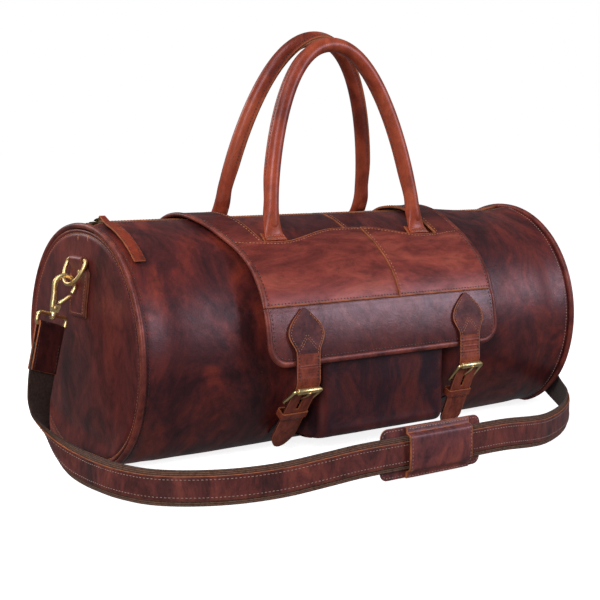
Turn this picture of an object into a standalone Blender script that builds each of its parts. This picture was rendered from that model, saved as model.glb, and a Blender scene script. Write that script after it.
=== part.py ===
"""A round leather duffel bag with a buckled saddle flap, rolled handles and a shoulder strap.

Metres, +Z up. The bag's length runs along X and its front faces -Y.
The origin is the middle of the flat base, on the surface that the bag stands on.
"""
import bpy
import bmesh
from math import asin, cos, degrees, hypot, pi, radians, sin, sqrt
from mathutils import Vector

# Body
LENGTH = 0.685
WIDTH = 0.272
HEIGHT = 0.280
WAIST = 0.132
BASE_WIDTH = 0.064
LEATHER = 0.003
LINING = 0.001
PIPING_RADIUS = 0.0035
PIPING_PROUD = 0.001
END_BULGE = 0.008
GAP = 0.0003

# Zip
ZIP_INSET = 0.0175
ZIP_LENGTH = LENGTH - 2 * ZIP_INSET
ZIP_SLOT = 0.022
TAPE_THICK = 0.0008
TAPE_LAP = 0.010
TEETH_WIDTH = 0.0026
TEETH_THICK = 0.0030
TEETH_PART = 0.0024
SLIDER_LENGTH = 0.016
SLIDER_WIDTH = 0.012
SLIDER_PLATE = 0.0016
SLIDER_INSET = 0.007
SLIDER_X = SLIDER_INSET - ZIP_LENGTH / 2
CROWN_HOLE = 0.0030
LINK_WIDTH = 0.014
LINK_LENGTH = 0.010
LINK_WIRE = 0.0009
PULLER_LENGTH = 0.094
PULLER_WIDTH = 0.016
PULLER_NECK = 0.0070
PULLER_THICK = 0.0020
PULLER_FOLD = 0.010

# Saddle and flap
MIDDLE_X = -0.009
SADDLE_WIDTH = 0.362
STRIP_WIDTH = 0.046
SADDLE_SEAM = 0.022
STRIP_BACK_END = -60.0
LEFT_FLARE = 0.022
WAVE_CREST = 30.0
WAVE_DIP = 38.5
WAVE_SIDE = 36.0
SEAM_ANGLE = 72.0
SADDLE_LIFT_BACK = 0.0010
SADDLE_LIFT_TOP = 0.0030
SADDLE_LIFT_SEAM = 0.019
FLAP_DROP = 0.068
FLAP_STAND = 0.0215
FLAP_FRONT = WIDTH / 2 + FLAP_STAND
FLAP_CORNER = 0.022
BINDING_RADIUS = 0.0023

# Flap straps and buckles
STRAP_INSET = 0.053
STRAP_SPACING = SADDLE_WIDTH - 2 * STRAP_INSET
STRAP_WIDTH = 0.034
STRAP_THICK = 0.0025
SPADE_WIDTH = 0.052
SPADE_LENGTH = 0.052
SPADE_START = 0.003
SPADE_PEAK = 0.58
POINT_WIDTH = 0.002
STRAP_HANG = 0.014
STRAP_BEND = 0.020
TAIL_LENGTH = 0.098
STRAP_POINT = 0.018
TAIL_SLOPES = {"left": radians(36.0), "right": radians(24.0)}
BUCKLE_WIRE = 0.0016
BUCKLE_HEIGHT = 0.026
ROLLER_RADIUS = 0.0030
TONGUE_WIDTH = 0.0036
TONGUE_THICK = 0.0014
SLOT_REACH = 0.008
CHAPE_THICK = 0.0015
CHAPE_LAP = 0.026
CHAPE_FOOT_ANGLES = [138.0, 143.0]
KEEPER_PLACE = 0.044
KEEPER_HEIGHT = 0.009
KEEPER_THICK = 0.0015

# Front pocket
POCKET_TO_STRAP = 0.013
POCKET_WIDTH = STRAP_SPACING - STRAP_WIDTH - 2 * POCKET_TO_STRAP
POCKET_STAND = 0.015
POCKET_FRONT = WIDTH / 2 + POCKET_STAND
POCKET_DEPTH = 0.091
POCKET_BACK = POCKET_FRONT - POCKET_DEPTH
POCKET_TOP = 0.160
POCKET_BOTTOM = 0.020
POCKET_CORNER = 0.012
POCKET_WALL = 0.0025

# Handles
HANDLE_TO_STRIP = 0.021
HANDLE_SPACING = SADDLE_WIDTH - 2 * STRIP_WIDTH - 2 * HANDLE_TO_STRIP
FRONT_RISE = 0.218
BACK_RISE = 0.222
HANDLE_NARROWING = 0.06
HANDLE_RADIUS = 0.009
CORE_RADIUS = 0.005
FRONT_LEAN = 4.0
FRONT_SKEW = -0.010
BACK_SKEW = -0.003
BACK_LEAN = 14.0
TAB_WIDTH = 0.030
TAB_ABOVE = 6.0
TAB_BELOW = 7.5
FRONT_HANDLE_ANGLE = 28.0
BACK_HANDLE_ANGLE = 16.0

# Rings and hooks at the ends
RING_Y = -0.008
RING_WIDTH = 0.044
RING_DEPTH = 0.030
RING_WIRE = 0.0022
RING_Z = 0.238
RING_LEAN = 25.0
RING_TAB_WIDTH = 0.036
RING_TAB_END_Z = 0.172
RING_TAB_THICK = 0.002
HOOK_WIRE = 0.0024
GATE_WIRE = 0.0020
HOOK_LENGTH = 0.046
HOOK_PLAY = 0.0042
HOOK_SHIFT = 0.0043
HOOK_OFFSET = 0.003
HOOK_LEAN = radians(18.0)
HOOK_TURN = radians(82.0)
HOOK_BOW_RADIUS = 0.0119
HOOK_BASE_WIDTH = 0.011
HOOK_BASE_HEIGHT = 0.009
HOOK_BASE_THICK = 0.0055
STUD_RADIUS = 0.0018
EYE_WIRE = 0.0020
EYE_HEIGHT = 0.013
EYE_BOSS_RADIUS = 0.0045
EYE_BOSS_HEIGHT = 0.006

# Shoulder strap and pad
WEBBING_WIDTH = 0.038
WEBBING_THICK = 0.0024
OVERLAY_WIDTH = 0.026
OVERLAY_THICK = 0.0018
STRAP_END_THICK = 0.002
PAD_LENGTH = 0.150
PAD_HEIGHT = 0.058
PAD_THICK = 0.004
PAD_COVER_LENGTH = 0.095
PAD_X = -0.054
PAD_CLEAR = 0.0008

# The shoulder strap's route on the floor, from the left eye to the right eye, to the middle of the webbing.
STRAP_ROUTE = [
    (-0.3895, -0.0070, 0.1445), (-0.3940, -0.0072, 0.1250), (-0.3985, -0.0069, 0.1000),
    (-0.4010, -0.0076, 0.0760), (-0.3995, -0.0150, 0.0530), (-0.3965, -0.0350, 0.0350),
    (-0.3940, -0.0630, 0.0245), (-0.3915, -0.0960, 0.0197), (-0.3910, -0.1300, 0.0193),
    (-0.3870, -0.1670, 0.0193), (-0.3730, -0.2060, 0.0193), (-0.3430, -0.2360, 0.0193),
    (-0.3000, -0.2570, 0.0193), (-0.2500, -0.2700, 0.0210), (-0.2000, -0.2805, 0.0265),
    (-0.1600, -0.2850, 0.0300), (-0.1050, -0.2850, 0.0302), (-0.0540, -0.2850, 0.0302),
    (0.0050, -0.2850, 0.0302), (0.0600, -0.2850, 0.0300), (0.1100, -0.2790, 0.0255),
    (0.1550, -0.2620, 0.0205), (0.2050, -0.2380, 0.0193), (0.2530, -0.2070, 0.0193),
    (0.2980, -0.1680, 0.0193), (0.3350, -0.1260, 0.0196), (0.3650, -0.0870, 0.0220),
    (0.3880, -0.0480, 0.0330), (0.4000, -0.0150, 0.0540), (0.4020, -0.0076, 0.0770),
    (0.3990, -0.0069, 0.1000), (0.3940, -0.0072, 0.1250), (0.3895, -0.0070, 0.1445),
]
STRAP_STEPS = 2
OVERLAY_LEAD = 3
EYE_TURN = radians(14.0)
END_TURN = radians(28.0)

# Colours, linear
BURGUNDY = (0.060, 0.016, 0.015)
RED_BROWN = (0.165, 0.032, 0.018)
COGNAC = (0.300, 0.060, 0.022)
BRASS = (0.480, 0.310, 0.120)
OLD_BRASS = (0.200, 0.140, 0.070)
OLIVE = (0.085, 0.060, 0.042)
CLOTH = (0.300, 0.220, 0.140)
CORD = (0.450, 0.380, 0.280)


# Shared forms

for old in list(bpy.data.objects):
    bpy.data.objects.remove(old, do_unlink=True)


def finish(obj, colour, roughness=0.5, metallic=0.0):
    """Gives an object its own material."""
    material = bpy.data.materials.new(obj.name)
    material.use_nodes = True
    shader = material.node_tree.nodes["Principled BSDF"]
    shader.inputs["Base Color"].default_value = (*colour, 1.0)
    shader.inputs["Roughness"].default_value = roughness
    shader.inputs["Metallic"].default_value = metallic
    obj.data.materials.append(material)
    return obj


def solid(name, points, faces, origin=(0.0, 0.0, 0.0)):
    """A closed mesh object whose origin is the given point."""
    mesh = bpy.data.meshes.new(name)
    start = Vector(origin)
    mesh.from_pydata([Vector(p) - start for p in points], [], faces)
    work = bmesh.new()
    work.from_mesh(mesh)
    bmesh.ops.recalc_face_normals(work, faces=work.faces)
    work.to_mesh(mesh)
    work.free()
    mesh.shade_smooth()
    mesh.set_sharp_from_angle(angle=radians(35.0))
    obj = bpy.data.objects.new(name, mesh)
    obj.location = start
    bpy.context.scene.collection.objects.link(obj)
    return obj


def combine(obj, other, operation):
    """Applies a Boolean of one object with another, which is then removed."""
    change = obj.modifiers.new(operation.lower(), "BOOLEAN")
    change.operation = operation
    change.object = other
    bpy.context.view_layer.update()
    ready = obj.evaluated_get(bpy.context.evaluated_depsgraph_get())
    mesh = bpy.data.meshes.new_from_object(ready)
    obj.modifiers.clear()
    obj.data = mesh
    bpy.data.objects.remove(other, do_unlink=True)
    mesh.set_sharp_from_angle(angle=radians(35.0))
    return obj


def slab(name, rows, active=None, origin=(0.0, 0.0, 0.0)):
    """A sheet with a thickness: rows[i][j] is a pair of points, one on each face."""
    points = []
    index = {}
    faces = []
    edges = set()

    def corner(cell, side):
        if (cell, side) not in index:
            index[cell, side] = len(points)
            points.append(rows[cell[0]][cell[1]][side])
        return index[cell, side]

    for i in range(len(rows) - 1):
        for j in range(len(rows[0]) - 1):
            if active and not active(i, j):
                continue
            ring = [(i, j), (i + 1, j), (i + 1, j + 1), (i, j + 1)]
            for half in ((0, 1, 2), (0, 2, 3)):
                faces.append([corner(ring[k], 0) for k in half])
                faces.append([corner(ring[k], 1) for k in reversed(half)])
            edges.update(zip(ring, ring[1:] + ring[:1]))
    for a, b in edges:
        if (b, a) not in edges:
            faces.append([corner(b, 0), corner(a, 0), corner(a, 1), corner(b, 1)])
    return solid(name, points, faces, origin)


def loft(name, rings, closed=False, origin=(0.0, 0.0, 0.0)):
    """A body through rings of equally many points, capped at both ends or joined end to end."""
    count = len(rings[0])
    points = [p for ring in rings for p in ring]
    faces = []
    last = len(rings) if closed else len(rings) - 1
    for i in range(last):
        a = i * count
        b = (i + 1) % len(rings) * count
        for k in range(count):
            n = (k + 1) % count
            faces.append([a + k, a + n, b + n, b + k])
    if not closed:
        faces.append(list(range(count)))
        faces.append(list(range(len(points) - count, len(points))))
    return solid(name, points, faces, origin)


def frames(path, closed=False):
    """A tangent, a side and an up direction at each point of a path, turning as little as possible."""
    count = len(path)
    result = []
    side = None
    for i, point in enumerate(path):
        before = path[i - 1] if closed or i else point
        after = path[(i + 1) % count] if closed or i < count - 1 else point
        along = (Vector(after) - Vector(before)).normalized()
        if side is None:
            side = along.orthogonal()
        side = (side - along * side.dot(along)).normalized()
        result.append((along, side, along.cross(side)))
    return result


def circle(sides):
    return [(cos(2 * pi * k / sides), sin(2 * pi * k / sides)) for k in range(sides)]


def tube(name, path, radius, sides=8, closed=False, origin=(0.0, 0.0, 0.0)):
    """A round rod or a closed ring along a path, of one radius or of one radius for each point."""
    radii = radius if isinstance(radius, list) else [radius] * len(path)
    rings = []
    for point, (_, side, up), size in zip(path, frames(path, closed), radii):
        rings.append([Vector(point) + side * size * c + up * size * s for c, s in circle(sides)])
    return loft(name, rings, closed, origin)


def sleeve(name, path, outer, bore, sides, origin=(0.0, 0.0, 0.0)):
    """A hollow tube with open ends: outer and bore are radii, outer one for each point."""
    turns = frames(path)
    rings = []
    for size in (outer, [bore] * len(path)):
        wall = []
        for point, (_, side, up), reach in zip(path, turns, size):
            wall.append([Vector(point) + side * reach * c + up * reach * s for c, s in circle(sides)])
        rings.append(wall)
    return loft(name, rings[0] + rings[1][::-1], True, origin)


def prism(name, outline, low, high, place, origin=(0.0, 0.0, 0.0)):
    """An outline of (u, v) points, extruded from low to high; place(u, v, w) gives the point."""
    return loft(name, [[place(u, v, w) for u, v in outline] for w in (low, high)], False, origin)


def box(name, low, high, origin=(0.0, 0.0, 0.0)):
    outline = [(low[0], low[1]), (high[0], low[1]), (high[0], high[1]), (low[0], high[1])]
    return prism(name, outline, low[2], high[2], lambda u, v, w: (u, v, w), origin)


def rounded(width, height, radius, steps=3):
    """A rectangle with round corners, centred on the origin."""
    result = []
    for k, (sx, sy) in enumerate([(1, 1), (-1, 1), (-1, -1), (1, -1)]):
        for i in range(steps + 1):
            a = pi / 2 * (k + i / steps)
            x = sx * (width / 2 - radius) + radius * cos(a)
            y = sy * (height / 2 - radius) + radius * sin(a)
            result.append((x, y))
    return result


def spread(low, high, count):
    return [low + (high - low) * i / count for i in range(count + 1)]


def ease(value, low, high):
    """Rises smoothly from 0 at low to 1 at high."""
    share = min(max((value - low) / (high - low), 0.0), 1.0)
    return share * share * (3 - 2 * share)


# The body's section: an arch over a fuller lower half that runs into a flat base.
# Angles are in degrees from the top: positive to the front, negative to the back, 180 at the base's edge.

HALF_WIDTH = WIDTH / 2
HALF_BASE = BASE_WIDTH / 2
ARCH = HEIGHT - WAIST
PANEL_END = LENGTH / 2 - 2 * PIPING_RADIUS - GAP
SLOT_ANGLE = degrees(asin(ZIP_SLOT / WIDTH))
TAPE_END_ANGLE = SLOT_ANGLE + degrees(TAPE_LAP / HALF_WIDTH)
LINING_START = TAPE_END_ANGLE + degrees(2 * GAP / HALF_WIDTH)
LINED_ANGLES = spread(LINING_START, 180.0, 14)
PANEL_ANGLES = [SLOT_ANGLE, TAPE_END_ANGLE] + LINED_ANGLES


def skin(angle, out=0.0):
    """The (y, z) of the section at an angle, moved outwards."""
    front = -1.0 if angle >= 0 else 1.0
    turn = radians(abs(angle))
    if abs(angle) <= 90.0:
        across, rise, start = HALF_WIDTH, ARCH, 0.0
    else:
        across, rise, start = HALF_WIDTH - HALF_BASE, WAIST, HALF_BASE
    ny, nz = sin(turn) / across, cos(turn) / rise
    size = hypot(ny, nz)
    y = start + across * sin(turn) + out * ny / size
    z = WAIST + rise * cos(turn) + out * nz / size
    return front * y, z


def on_skin(x, angle, out=0.0):
    y, z = skin(angle, out)
    return (x, y, z)


def section_loop(out, steps=16):
    """The closed section as (y, z) points, from the top round the front, the base and the back."""
    front = [skin(a, out) for a in spread(0.0, 180.0, steps)]
    back = [skin(-a, out) for a in spread(0.0, 180.0, steps)]
    return front + back[:0:-1]


def skin_strip(name, x_low, x_high, angles, inner, outer):
    """A strip of the body's skin between two X positions, from one offset to another."""
    outline = [skin(a, outer) for a in angles] + [skin(a, inner) for a in reversed(angles)]
    return prism(name, outline, x_low, x_high, lambda y, z, x: (x, y, z))


def make_body():
    seam = GAP / 2
    halves = {"left": (-PANEL_END, -seam), "right": (seam, PANEL_END)}
    for side, (low, high) in halves.items():
        finish(skin_strip("front_panel_" + side, low, high, PANEL_ANGLES, -LEATHER, 0.0), BURGUNDY)
        back = [-a for a in PANEL_ANGLES]
        finish(skin_strip("back_panel_" + side, low, high, back, -LEATHER, 0.0), BURGUNDY)
    half = HALF_BASE - GAP
    finish(box("base_panel", (-PANEL_END, -half, 0.0), (PANEL_END, half, LEATHER)), BURGUNDY)


END_FACE = LENGTH / 2 - PIPING_RADIUS + LEATHER / 2
END_CENTRE = HEIGHT / 2


def end_face(y, z, out=0.0):
    """How far from the middle of the bag the outside of an end panel lies."""
    reach = (y / HALF_WIDTH) ** 2 + ((z - END_CENTRE) / END_CENTRE) ** 2
    return END_FACE + END_BULGE * max(0.0, 1.0 - reach) + out


def rim_loop(out, floor):
    """The section, moved outwards but kept a height above the base, so that the bag stands on its base."""
    return [(y, max(z, floor)) for y, z in section_loop(out)]


def make_end(side, sign):
    edge = rim_loop(PIPING_PROUD - PIPING_RADIUS - 2 * GAP, 2 * PIPING_RADIUS + 3 * GAP)
    rings = [1.0, 0.86, 0.64, 0.36]
    centre = Vector((0.0, END_CENTRE))
    points = []
    for out in (0.0, -LEATHER):
        for share in rings:
            for place in edge:
                y, z = centre + (Vector(place) - centre) * share
                points.append((sign * end_face(y, z, out), y, z))
        points.append((sign * end_face(0.0, END_CENTRE, out), 0.0, END_CENTRE))
    count = len(edge)
    layer = count * len(rings) + 1
    faces = []
    for face in range(2):
        start = face * layer
        for k in range(count):
            n = (k + 1) % count
            for r in range(len(rings) - 1):
                a = start + r * count
                faces.append([a + k, a + n, a + count + n, a + count + k])
            a = start + (len(rings) - 1) * count
            faces.append([a + k, a + n, start + layer - 1])
    for k in range(count):
        n = (k + 1) % count
        faces.append([k, n, layer + n, layer + k])
    finish(solid("end_panel_" + side, points, faces), BURGUNDY)
    x = sign * (LENGTH / 2 - PIPING_RADIUS)
    path = [(x, y, z) for y, z in rim_loop(PIPING_PROUD, PIPING_RADIUS + GAP)]
    finish(tube("piping_" + side, path, PIPING_RADIUS, 8, True), RED_BROWN)


# The lining stops where the zip tapes are sewn in.
LINING_OUT = -LEATHER - GAP


def make_lining():
    around = LINED_ANGLES + [-a for a in reversed(LINED_ANGLES)]
    outline = [skin(a, LINING_OUT) for a in around]
    outline += [skin(a, LINING_OUT - LINING) for a in reversed(around)]
    finish(prism("lining", outline, -PANEL_END, PANEL_END, lambda y, z, x: (x, y, z)), CLOTH, 0.9)


# Zip

TAPE_TOP = LINING_OUT
TEETH_MIDDLE_Z = HEIGHT + TAPE_TOP - TAPE_THICK / 2
TEETH_INNER = TEETH_PART / 2
TEETH_OUTER = TEETH_INNER + TEETH_WIDTH
PLATE_LOW = TEETH_MIDDLE_Z + TEETH_THICK / 2 + GAP
PLATE_TOP = PLATE_LOW + SLIDER_PLATE
CROWN_Z = PLATE_TOP + CROWN_HOLE / 2
CROWN_WALL = 0.0013


def make_zip():
    half = ZIP_LENGTH / 2
    start = degrees(asin((TEETH_OUTER + GAP) / HALF_WIDTH))
    for side, sign in (("front", 1.0), ("back", -1.0)):
        angles = [sign * a for a in (start, SLOT_ANGLE, TAPE_END_ANGLE)]
        tape = skin_strip("zip_tape_" + side, -half, half, angles, TAPE_TOP - TAPE_THICK, TAPE_TOP)
        finish(tape, OLIVE, 0.85)
        y = sorted((-sign * TEETH_INNER, -sign * TEETH_OUTER))
        low = (-half, y[0], TEETH_MIDDLE_Z - TEETH_THICK / 2)
        high = (half, y[1], TEETH_MIDDLE_Z + TEETH_THICK / 2)
        finish(box("zip_teeth_" + side, low, high), OLD_BRASS, 0.4, 1.0)


def make_slider():
    origin = (SLIDER_X, 0.0, CROWN_Z)
    x_low, x_high = SLIDER_X - SLIDER_LENGTH / 2, SLIDER_X + SLIDER_LENGTH / 2
    half = SLIDER_WIDTH / 2
    slider = box("zip_slider", (x_low, -half, PLATE_LOW), (x_high, half, PLATE_TOP), origin)
    under = 2 * TEETH_MIDDLE_Z - PLATE_LOW
    plate = box("plate", (x_low, -half, under - SLIDER_PLATE), (x_high, half, under))
    neck_half = TEETH_INNER - GAP
    overlap = SLIDER_PLATE / 2
    neck = box("neck", (x_low, -neck_half, under - overlap), (x_low + 0.004, neck_half, PLATE_LOW + overlap))
    foot = PLATE_TOP - overlap
    hole = CROWN_HOLE / 2
    wall = hole + CROWN_WALL
    crown_top = CROWN_Z + hole
    outline = [(-wall, foot), (-wall, crown_top), (-hole, crown_top + CROWN_WALL)]
    outline += [(-y, z) for y, z in reversed(outline)]
    outline += [(hole, foot), (hole, crown_top), (-hole, crown_top), (-hole, foot)]
    crown = prism("crown", outline, SLIDER_X - CROWN_WALL, SLIDER_X + CROWN_WALL, lambda y, z, x: (x, y, z))
    for extra in (neck, plate, crown):
        combine(slider, extra, "UNION")
    finish(slider, OLD_BRASS, 0.35, 1.0)


LINK_END_Z = HEIGHT + LINK_WIRE + PULLER_THICK + 4 * GAP
LINK_END_Y = -sqrt(LINK_LENGTH ** 2 - (LINK_END_Z - CROWN_Z) ** 2)


def make_link():
    """The wire link lies forward from the crown, with a straight bar at each end."""
    origin = (SLIDER_X, 0.0, CROWN_Z)
    half = LINK_WIDTH / 2 - LINK_WIRE
    corner = 0.002
    near, far = Vector((0.0, 0.0, CROWN_Z)), Vector((0.0, LINK_END_Y, LINK_END_Z))
    along = (far - near).normalized()
    middle = (near + far) / 2
    path = []
    for u, v in rounded(2 * half, (far - near).length, corner, 2):
        path.append(Vector((SLIDER_X + u, 0.0, 0.0)) + middle + along * v)
    finish(tube("zip_link", path, LINK_WIRE, 6, True, origin), OLD_BRASS, 0.35, 1.0)


def make_puller():
    """A leather tab folded round the link's far bar, lying over the front of the body."""
    middle = LINK_WIRE + GAP + PULLER_THICK / 2
    turn = [radians(a) for a in spread(-80.0, 150.0, 8)]
    path = [(LINK_END_Y + middle * cos(a), LINK_END_Z + middle * sin(a)) for a in turn]
    first = degrees(asin((PULLER_FOLD - LINK_END_Y) / HALF_WIDTH))
    rest = spread(first, first + degrees((PULLER_LENGTH - PULLER_FOLD) / HALF_WIDTH), 8)
    path += [skin(a, 4 * GAP + PULLER_THICK / 2) for a in rest]
    rings = []
    fold_points = len(path) - len(rest)
    for i, ((y, z), frame) in enumerate(zip(path, frames([(0.0, y, z) for y, z in path]))):
        wide = PULLER_NECK if i < fold_points + 1 else PULLER_WIDTH
        off = Vector((0.0, -frame[0].z, frame[0].y)) * PULLER_THICK / 2
        at = Vector((SLIDER_X, y, z))
        across = Vector((wide / 2, 0.0, 0.0))
        rings.append([at - across - off, at + across - off, at + across + off, at - across + off])
    finish(loft("zip_puller", rings, False, (SLIDER_X, 0.0, CROWN_Z)), COGNAC, 0.45)


# Saddle and flap

STRIP_INNER = SADDLE_WIDTH / 2 - STRIP_WIDTH


def lift(angle):
    """How far the saddle's inside stands off the body: sewn at the back, out over the pocket at the front."""
    top = SADDLE_LIFT_BACK + (SADDLE_LIFT_TOP - SADDLE_LIFT_BACK) * ease(angle, STRIP_BACK_END + 12.0, -8.0)
    return top + (SADDLE_LIFT_SEAM - SADDLE_LIFT_TOP) * ease(angle, 28.0, SEAM_ANGLE)


def wave(x):
    """The angle of the saddle's upper front edge: high in the middle, low at the handles' tabs."""
    out = abs(x)
    dip = HANDLE_SPACING / 2
    if out < dip:
        return WAVE_CREST + (WAVE_DIP - WAVE_CREST) * ease(out, 0.02, dip)
    return WAVE_DIP + (WAVE_SIDE - WAVE_DIP) * ease(out, dip, SADDLE_WIDTH / 2)


def flare(x, angle):
    """How much the left strip spreads towards the top, most at its outer edge."""
    return LEFT_FLARE * ease(x, 0.6 * STRIP_INNER, SADDLE_WIDTH / 2) * (1.0 - ease(angle, 5.0, 55.0))


def make_saddle(side, sign):
    columns = spread(sign * SADDLE_SEAM + GAP, STRIP_INNER, 6) + spread(STRIP_INNER, SADDLE_WIDTH / 2, 2)[1:]
    back_rows, front_rows = 10, 6
    rows = []
    for x in columns:
        angles = spread(STRIP_BACK_END, wave(x), back_rows) + spread(wave(x), SEAM_ANGLE, front_rows)[1:]
        row = []
        for a in angles:
            place = MIDDLE_X + sign * (x + flare(x, a) * (sign < 0))
            row.append((on_skin(place, a, lift(a) + LEATHER), on_skin(place, a, lift(a))))
        rows.append(row)

    def active(i, j):
        return columns[i] >= STRIP_INNER - 1e-6 or j >= back_rows

    finish(slab("saddle_" + side, rows, active), RED_BROWN, 0.45)


SEAM_INNER = Vector(skin(SEAM_ANGLE, SADDLE_LIFT_SEAM))
SEAM_OUTER = Vector(skin(SEAM_ANGLE, SADDLE_LIFT_SEAM + LEATHER))
SEAM_DOWN = Vector((SEAM_INNER.y - SEAM_OUTER.y, SEAM_OUTER.x - SEAM_INNER.x)).normalized()
FLAP_AXIS = (MIDDLE_X, SEAM_OUTER.x, SEAM_OUTER.y)
FLAP_END_Z = SEAM_INNER.y - FLAP_DROP


def flap_curve(steps=24):
    """The flap's inside, from the seam to the lower edge, as (y, z) points."""
    down = SEAM_DOWN if SEAM_DOWN.y < 0 else -SEAM_DOWN
    third = FLAP_DROP / 3
    a = SEAM_INNER
    b = a + down * third
    d = Vector((-FLAP_FRONT, FLAP_END_Z))
    c = d + Vector((0.0, third))
    result = []
    for i in range(steps + 1):
        u = i / steps
        result.append(a * (1 - u) ** 3 + b * 3 * u * (1 - u) ** 2 + c * 3 * u * u * (1 - u) + d * u ** 3)
    return result


FLAP_CURVE = flap_curve()


def flap_point(drop, out=0.0):
    """The (y, z) of the flap at a distance below the seam, moved outwards from its inside."""
    left = drop
    for a, b in zip(FLAP_CURVE, FLAP_CURVE[1:]):
        step = (b - a).length
        if left <= step or b is FLAP_CURVE[-1]:
            along = (b - a).normalized()
            normal = Vector((along.y, -along.x))
            return a + along * left + normal * out
        left -= step
    return FLAP_CURVE[-1]


FLAP_LENGTH = sum((b - a).length for a, b in zip(FLAP_CURVE, FLAP_CURVE[1:]))
FLAP_PANEL_LENGTH = FLAP_LENGTH - 2 * BINDING_RADIUS
FLAP_PANEL_HALF = SADDLE_WIDTH / 2 - 2 * BINDING_RADIUS


def corner_rise(x, half, radius):
    """How much shorter the flap is at x, where its lower corners are round."""
    over = max(0.0, abs(x) - (half - radius))
    return radius - sqrt(max(0.0, radius * radius - over * over))


def make_flap():
    inner = FLAP_PANEL_HALF - FLAP_CORNER
    turn = [FLAP_PANEL_HALF - FLAP_CORNER + FLAP_CORNER * sin(radians(a)) for a in (30, 55, 75, 90)]
    columns = [-x for x in reversed(turn)] + spread(-inner, inner, 4) + turn
    rows = []
    for x in columns:
        end = FLAP_PANEL_LENGTH - corner_rise(x, FLAP_PANEL_HALF, FLAP_CORNER)
        row = []
        for drop in spread(GAP, end, 7):
            pair = [flap_point(drop, out) for out in (LEATHER, 0.0)]
            row.append(tuple((MIDDLE_X + x, p.x, p.y) for p in pair))
        rows.append(row)
    finish(slab("flap_panel", rows, None, FLAP_AXIS), BURGUNDY, 0.4)

    edge = FLAP_PANEL_HALF + BINDING_RADIUS + GAP
    low = FLAP_PANEL_LENGTH + BINDING_RADIUS + GAP
    radius = FLAP_CORNER + BINDING_RADIUS + GAP
    side = [(edge, d) for d in spread(2 * GAP + BINDING_RADIUS, low - radius, 5)]
    turn = spread(0.0, pi / 2, 5)[1:]
    bend = [(edge - radius + radius * cos(a), low - radius + radius * sin(a)) for a in turn]
    half = side + bend
    track = half + [(-x, d) for x, d in reversed(half)]
    path = []
    for x, drop in track:
        p = flap_point(drop, LEATHER / 2)
        path.append((MIDDLE_X + x, p.x, p.y))
    finish(tube("flap_binding", path, BINDING_RADIUS, 8, False, FLAP_AXIS), RED_BROWN, 0.45)


# Front pocket

def make_pocket():
    """A gusseted pocket, open at the top and closed at the back by the body."""
    deep = 2 * (POCKET_FRONT - POCKET_BACK)
    wall = 2 * POCKET_WALL
    outer = rounded(POCKET_WIDTH, deep, POCKET_CORNER, 4)
    inner = rounded(POCKET_WIDTH - wall, deep - wall, POCKET_CORNER - POCKET_WALL, 4)

    def place(u, v, w):
        return (MIDDLE_X + u, v - POCKET_BACK, w)

    pocket = prism("pocket", outer, POCKET_BOTTOM, POCKET_TOP, place)
    hollow = prism("hollow", inner, POCKET_BOTTOM + POCKET_WALL, POCKET_TOP + 0.02, place)
    combine(pocket, hollow, "DIFFERENCE")
    body = section_loop(2 * GAP, 28)
    core = prism("core", body, -LENGTH / 2, LENGTH / 2, lambda y, z, x: (x, y, z))
    combine(pocket, core, "DIFFERENCE")
    behind = box("behind", (-LENGTH, -POCKET_BACK, -HEIGHT), (LENGTH, LENGTH, HEIGHT))
    combine(pocket, behind, "DIFFERENCE")
    finish(pocket, BURGUNDY, 0.4)


# Flap straps and buckles
# Each strap hangs from the flap, then bends back under its buckle's roller towards the body.

STRAP_BACK = FLAP_FRONT + LEATHER + BINDING_RADIUS
BEND_DROP = FLAP_LENGTH + STRAP_HANG
BEND_Z = FLAP_END_Z - STRAP_HANG
BAR_BEND = BUCKLE_WIRE + GAP
HEEL_DEPTH = -(GAP + CHAPE_THICK + BAR_BEND)
ROLLER_DEPTH = STRAP_THICK + GAP + ROLLER_RADIUS


def strap_face(drop, slope):
    """The (y, z) of the strap's back at a distance below the seam, and its outward direction."""
    if drop < FLAP_LENGTH:
        rise = (BINDING_RADIUS - GAP) * ease(drop, 0.4 * FLAP_LENGTH, 0.9 * FLAP_LENGTH)
        back = flap_point(drop, LEATHER + GAP + rise)
        return back, (flap_point(drop, LEATHER + GAP + rise + STRAP_THICK) - back).normalized()
    turn = min(max((drop - BEND_DROP) / STRAP_BEND, 0.0), slope)
    out = Vector((-cos(turn), -sin(turn)))
    if drop <= BEND_DROP:
        return Vector((-STRAP_BACK, FLAP_END_Z - (drop - FLAP_LENGTH))), out
    arc = Vector((-STRAP_BACK + STRAP_BEND * (1.0 - cos(turn)), BEND_Z - STRAP_BEND * sin(turn)))
    tail = max(0.0, drop - BEND_DROP - STRAP_BEND * slope)
    return arc + Vector((-out.y, out.x)) * tail, out


def tail_place(x, slope):
    """Gives points by (u, s, w): along X, down the strap's tail from its bend, and out from its back."""
    start, out = strap_face(BEND_DROP + STRAP_BEND * slope, slope)
    down = Vector((-out.y, out.x))

    def place(u, s, w):
        y, z = start + down * s + out * w
        return Vector((x + u, y, z))

    return place


def strap_half_width(drop, length):
    """Half the strap's width: a spade head, a neck, an even strap and a pointed tip."""
    half = STRAP_WIDTH / 2
    down = drop - SPADE_START
    peak = SPADE_LENGTH * SPADE_PEAK
    if down < peak:
        return POINT_WIDTH + (SPADE_WIDTH / 2 - POINT_WIDTH) * sin(pi / 2 * down / peak)
    if down < SPADE_LENGTH:
        return half + (SPADE_WIDTH / 2 - half) * (1.0 - ease(down, peak, SPADE_LENGTH))
    left = length - drop
    if left > STRAP_POINT:
        return half
    return POINT_WIDTH + (half - POINT_WIDTH) * sqrt(max(0.0, left / STRAP_POINT))


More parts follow.
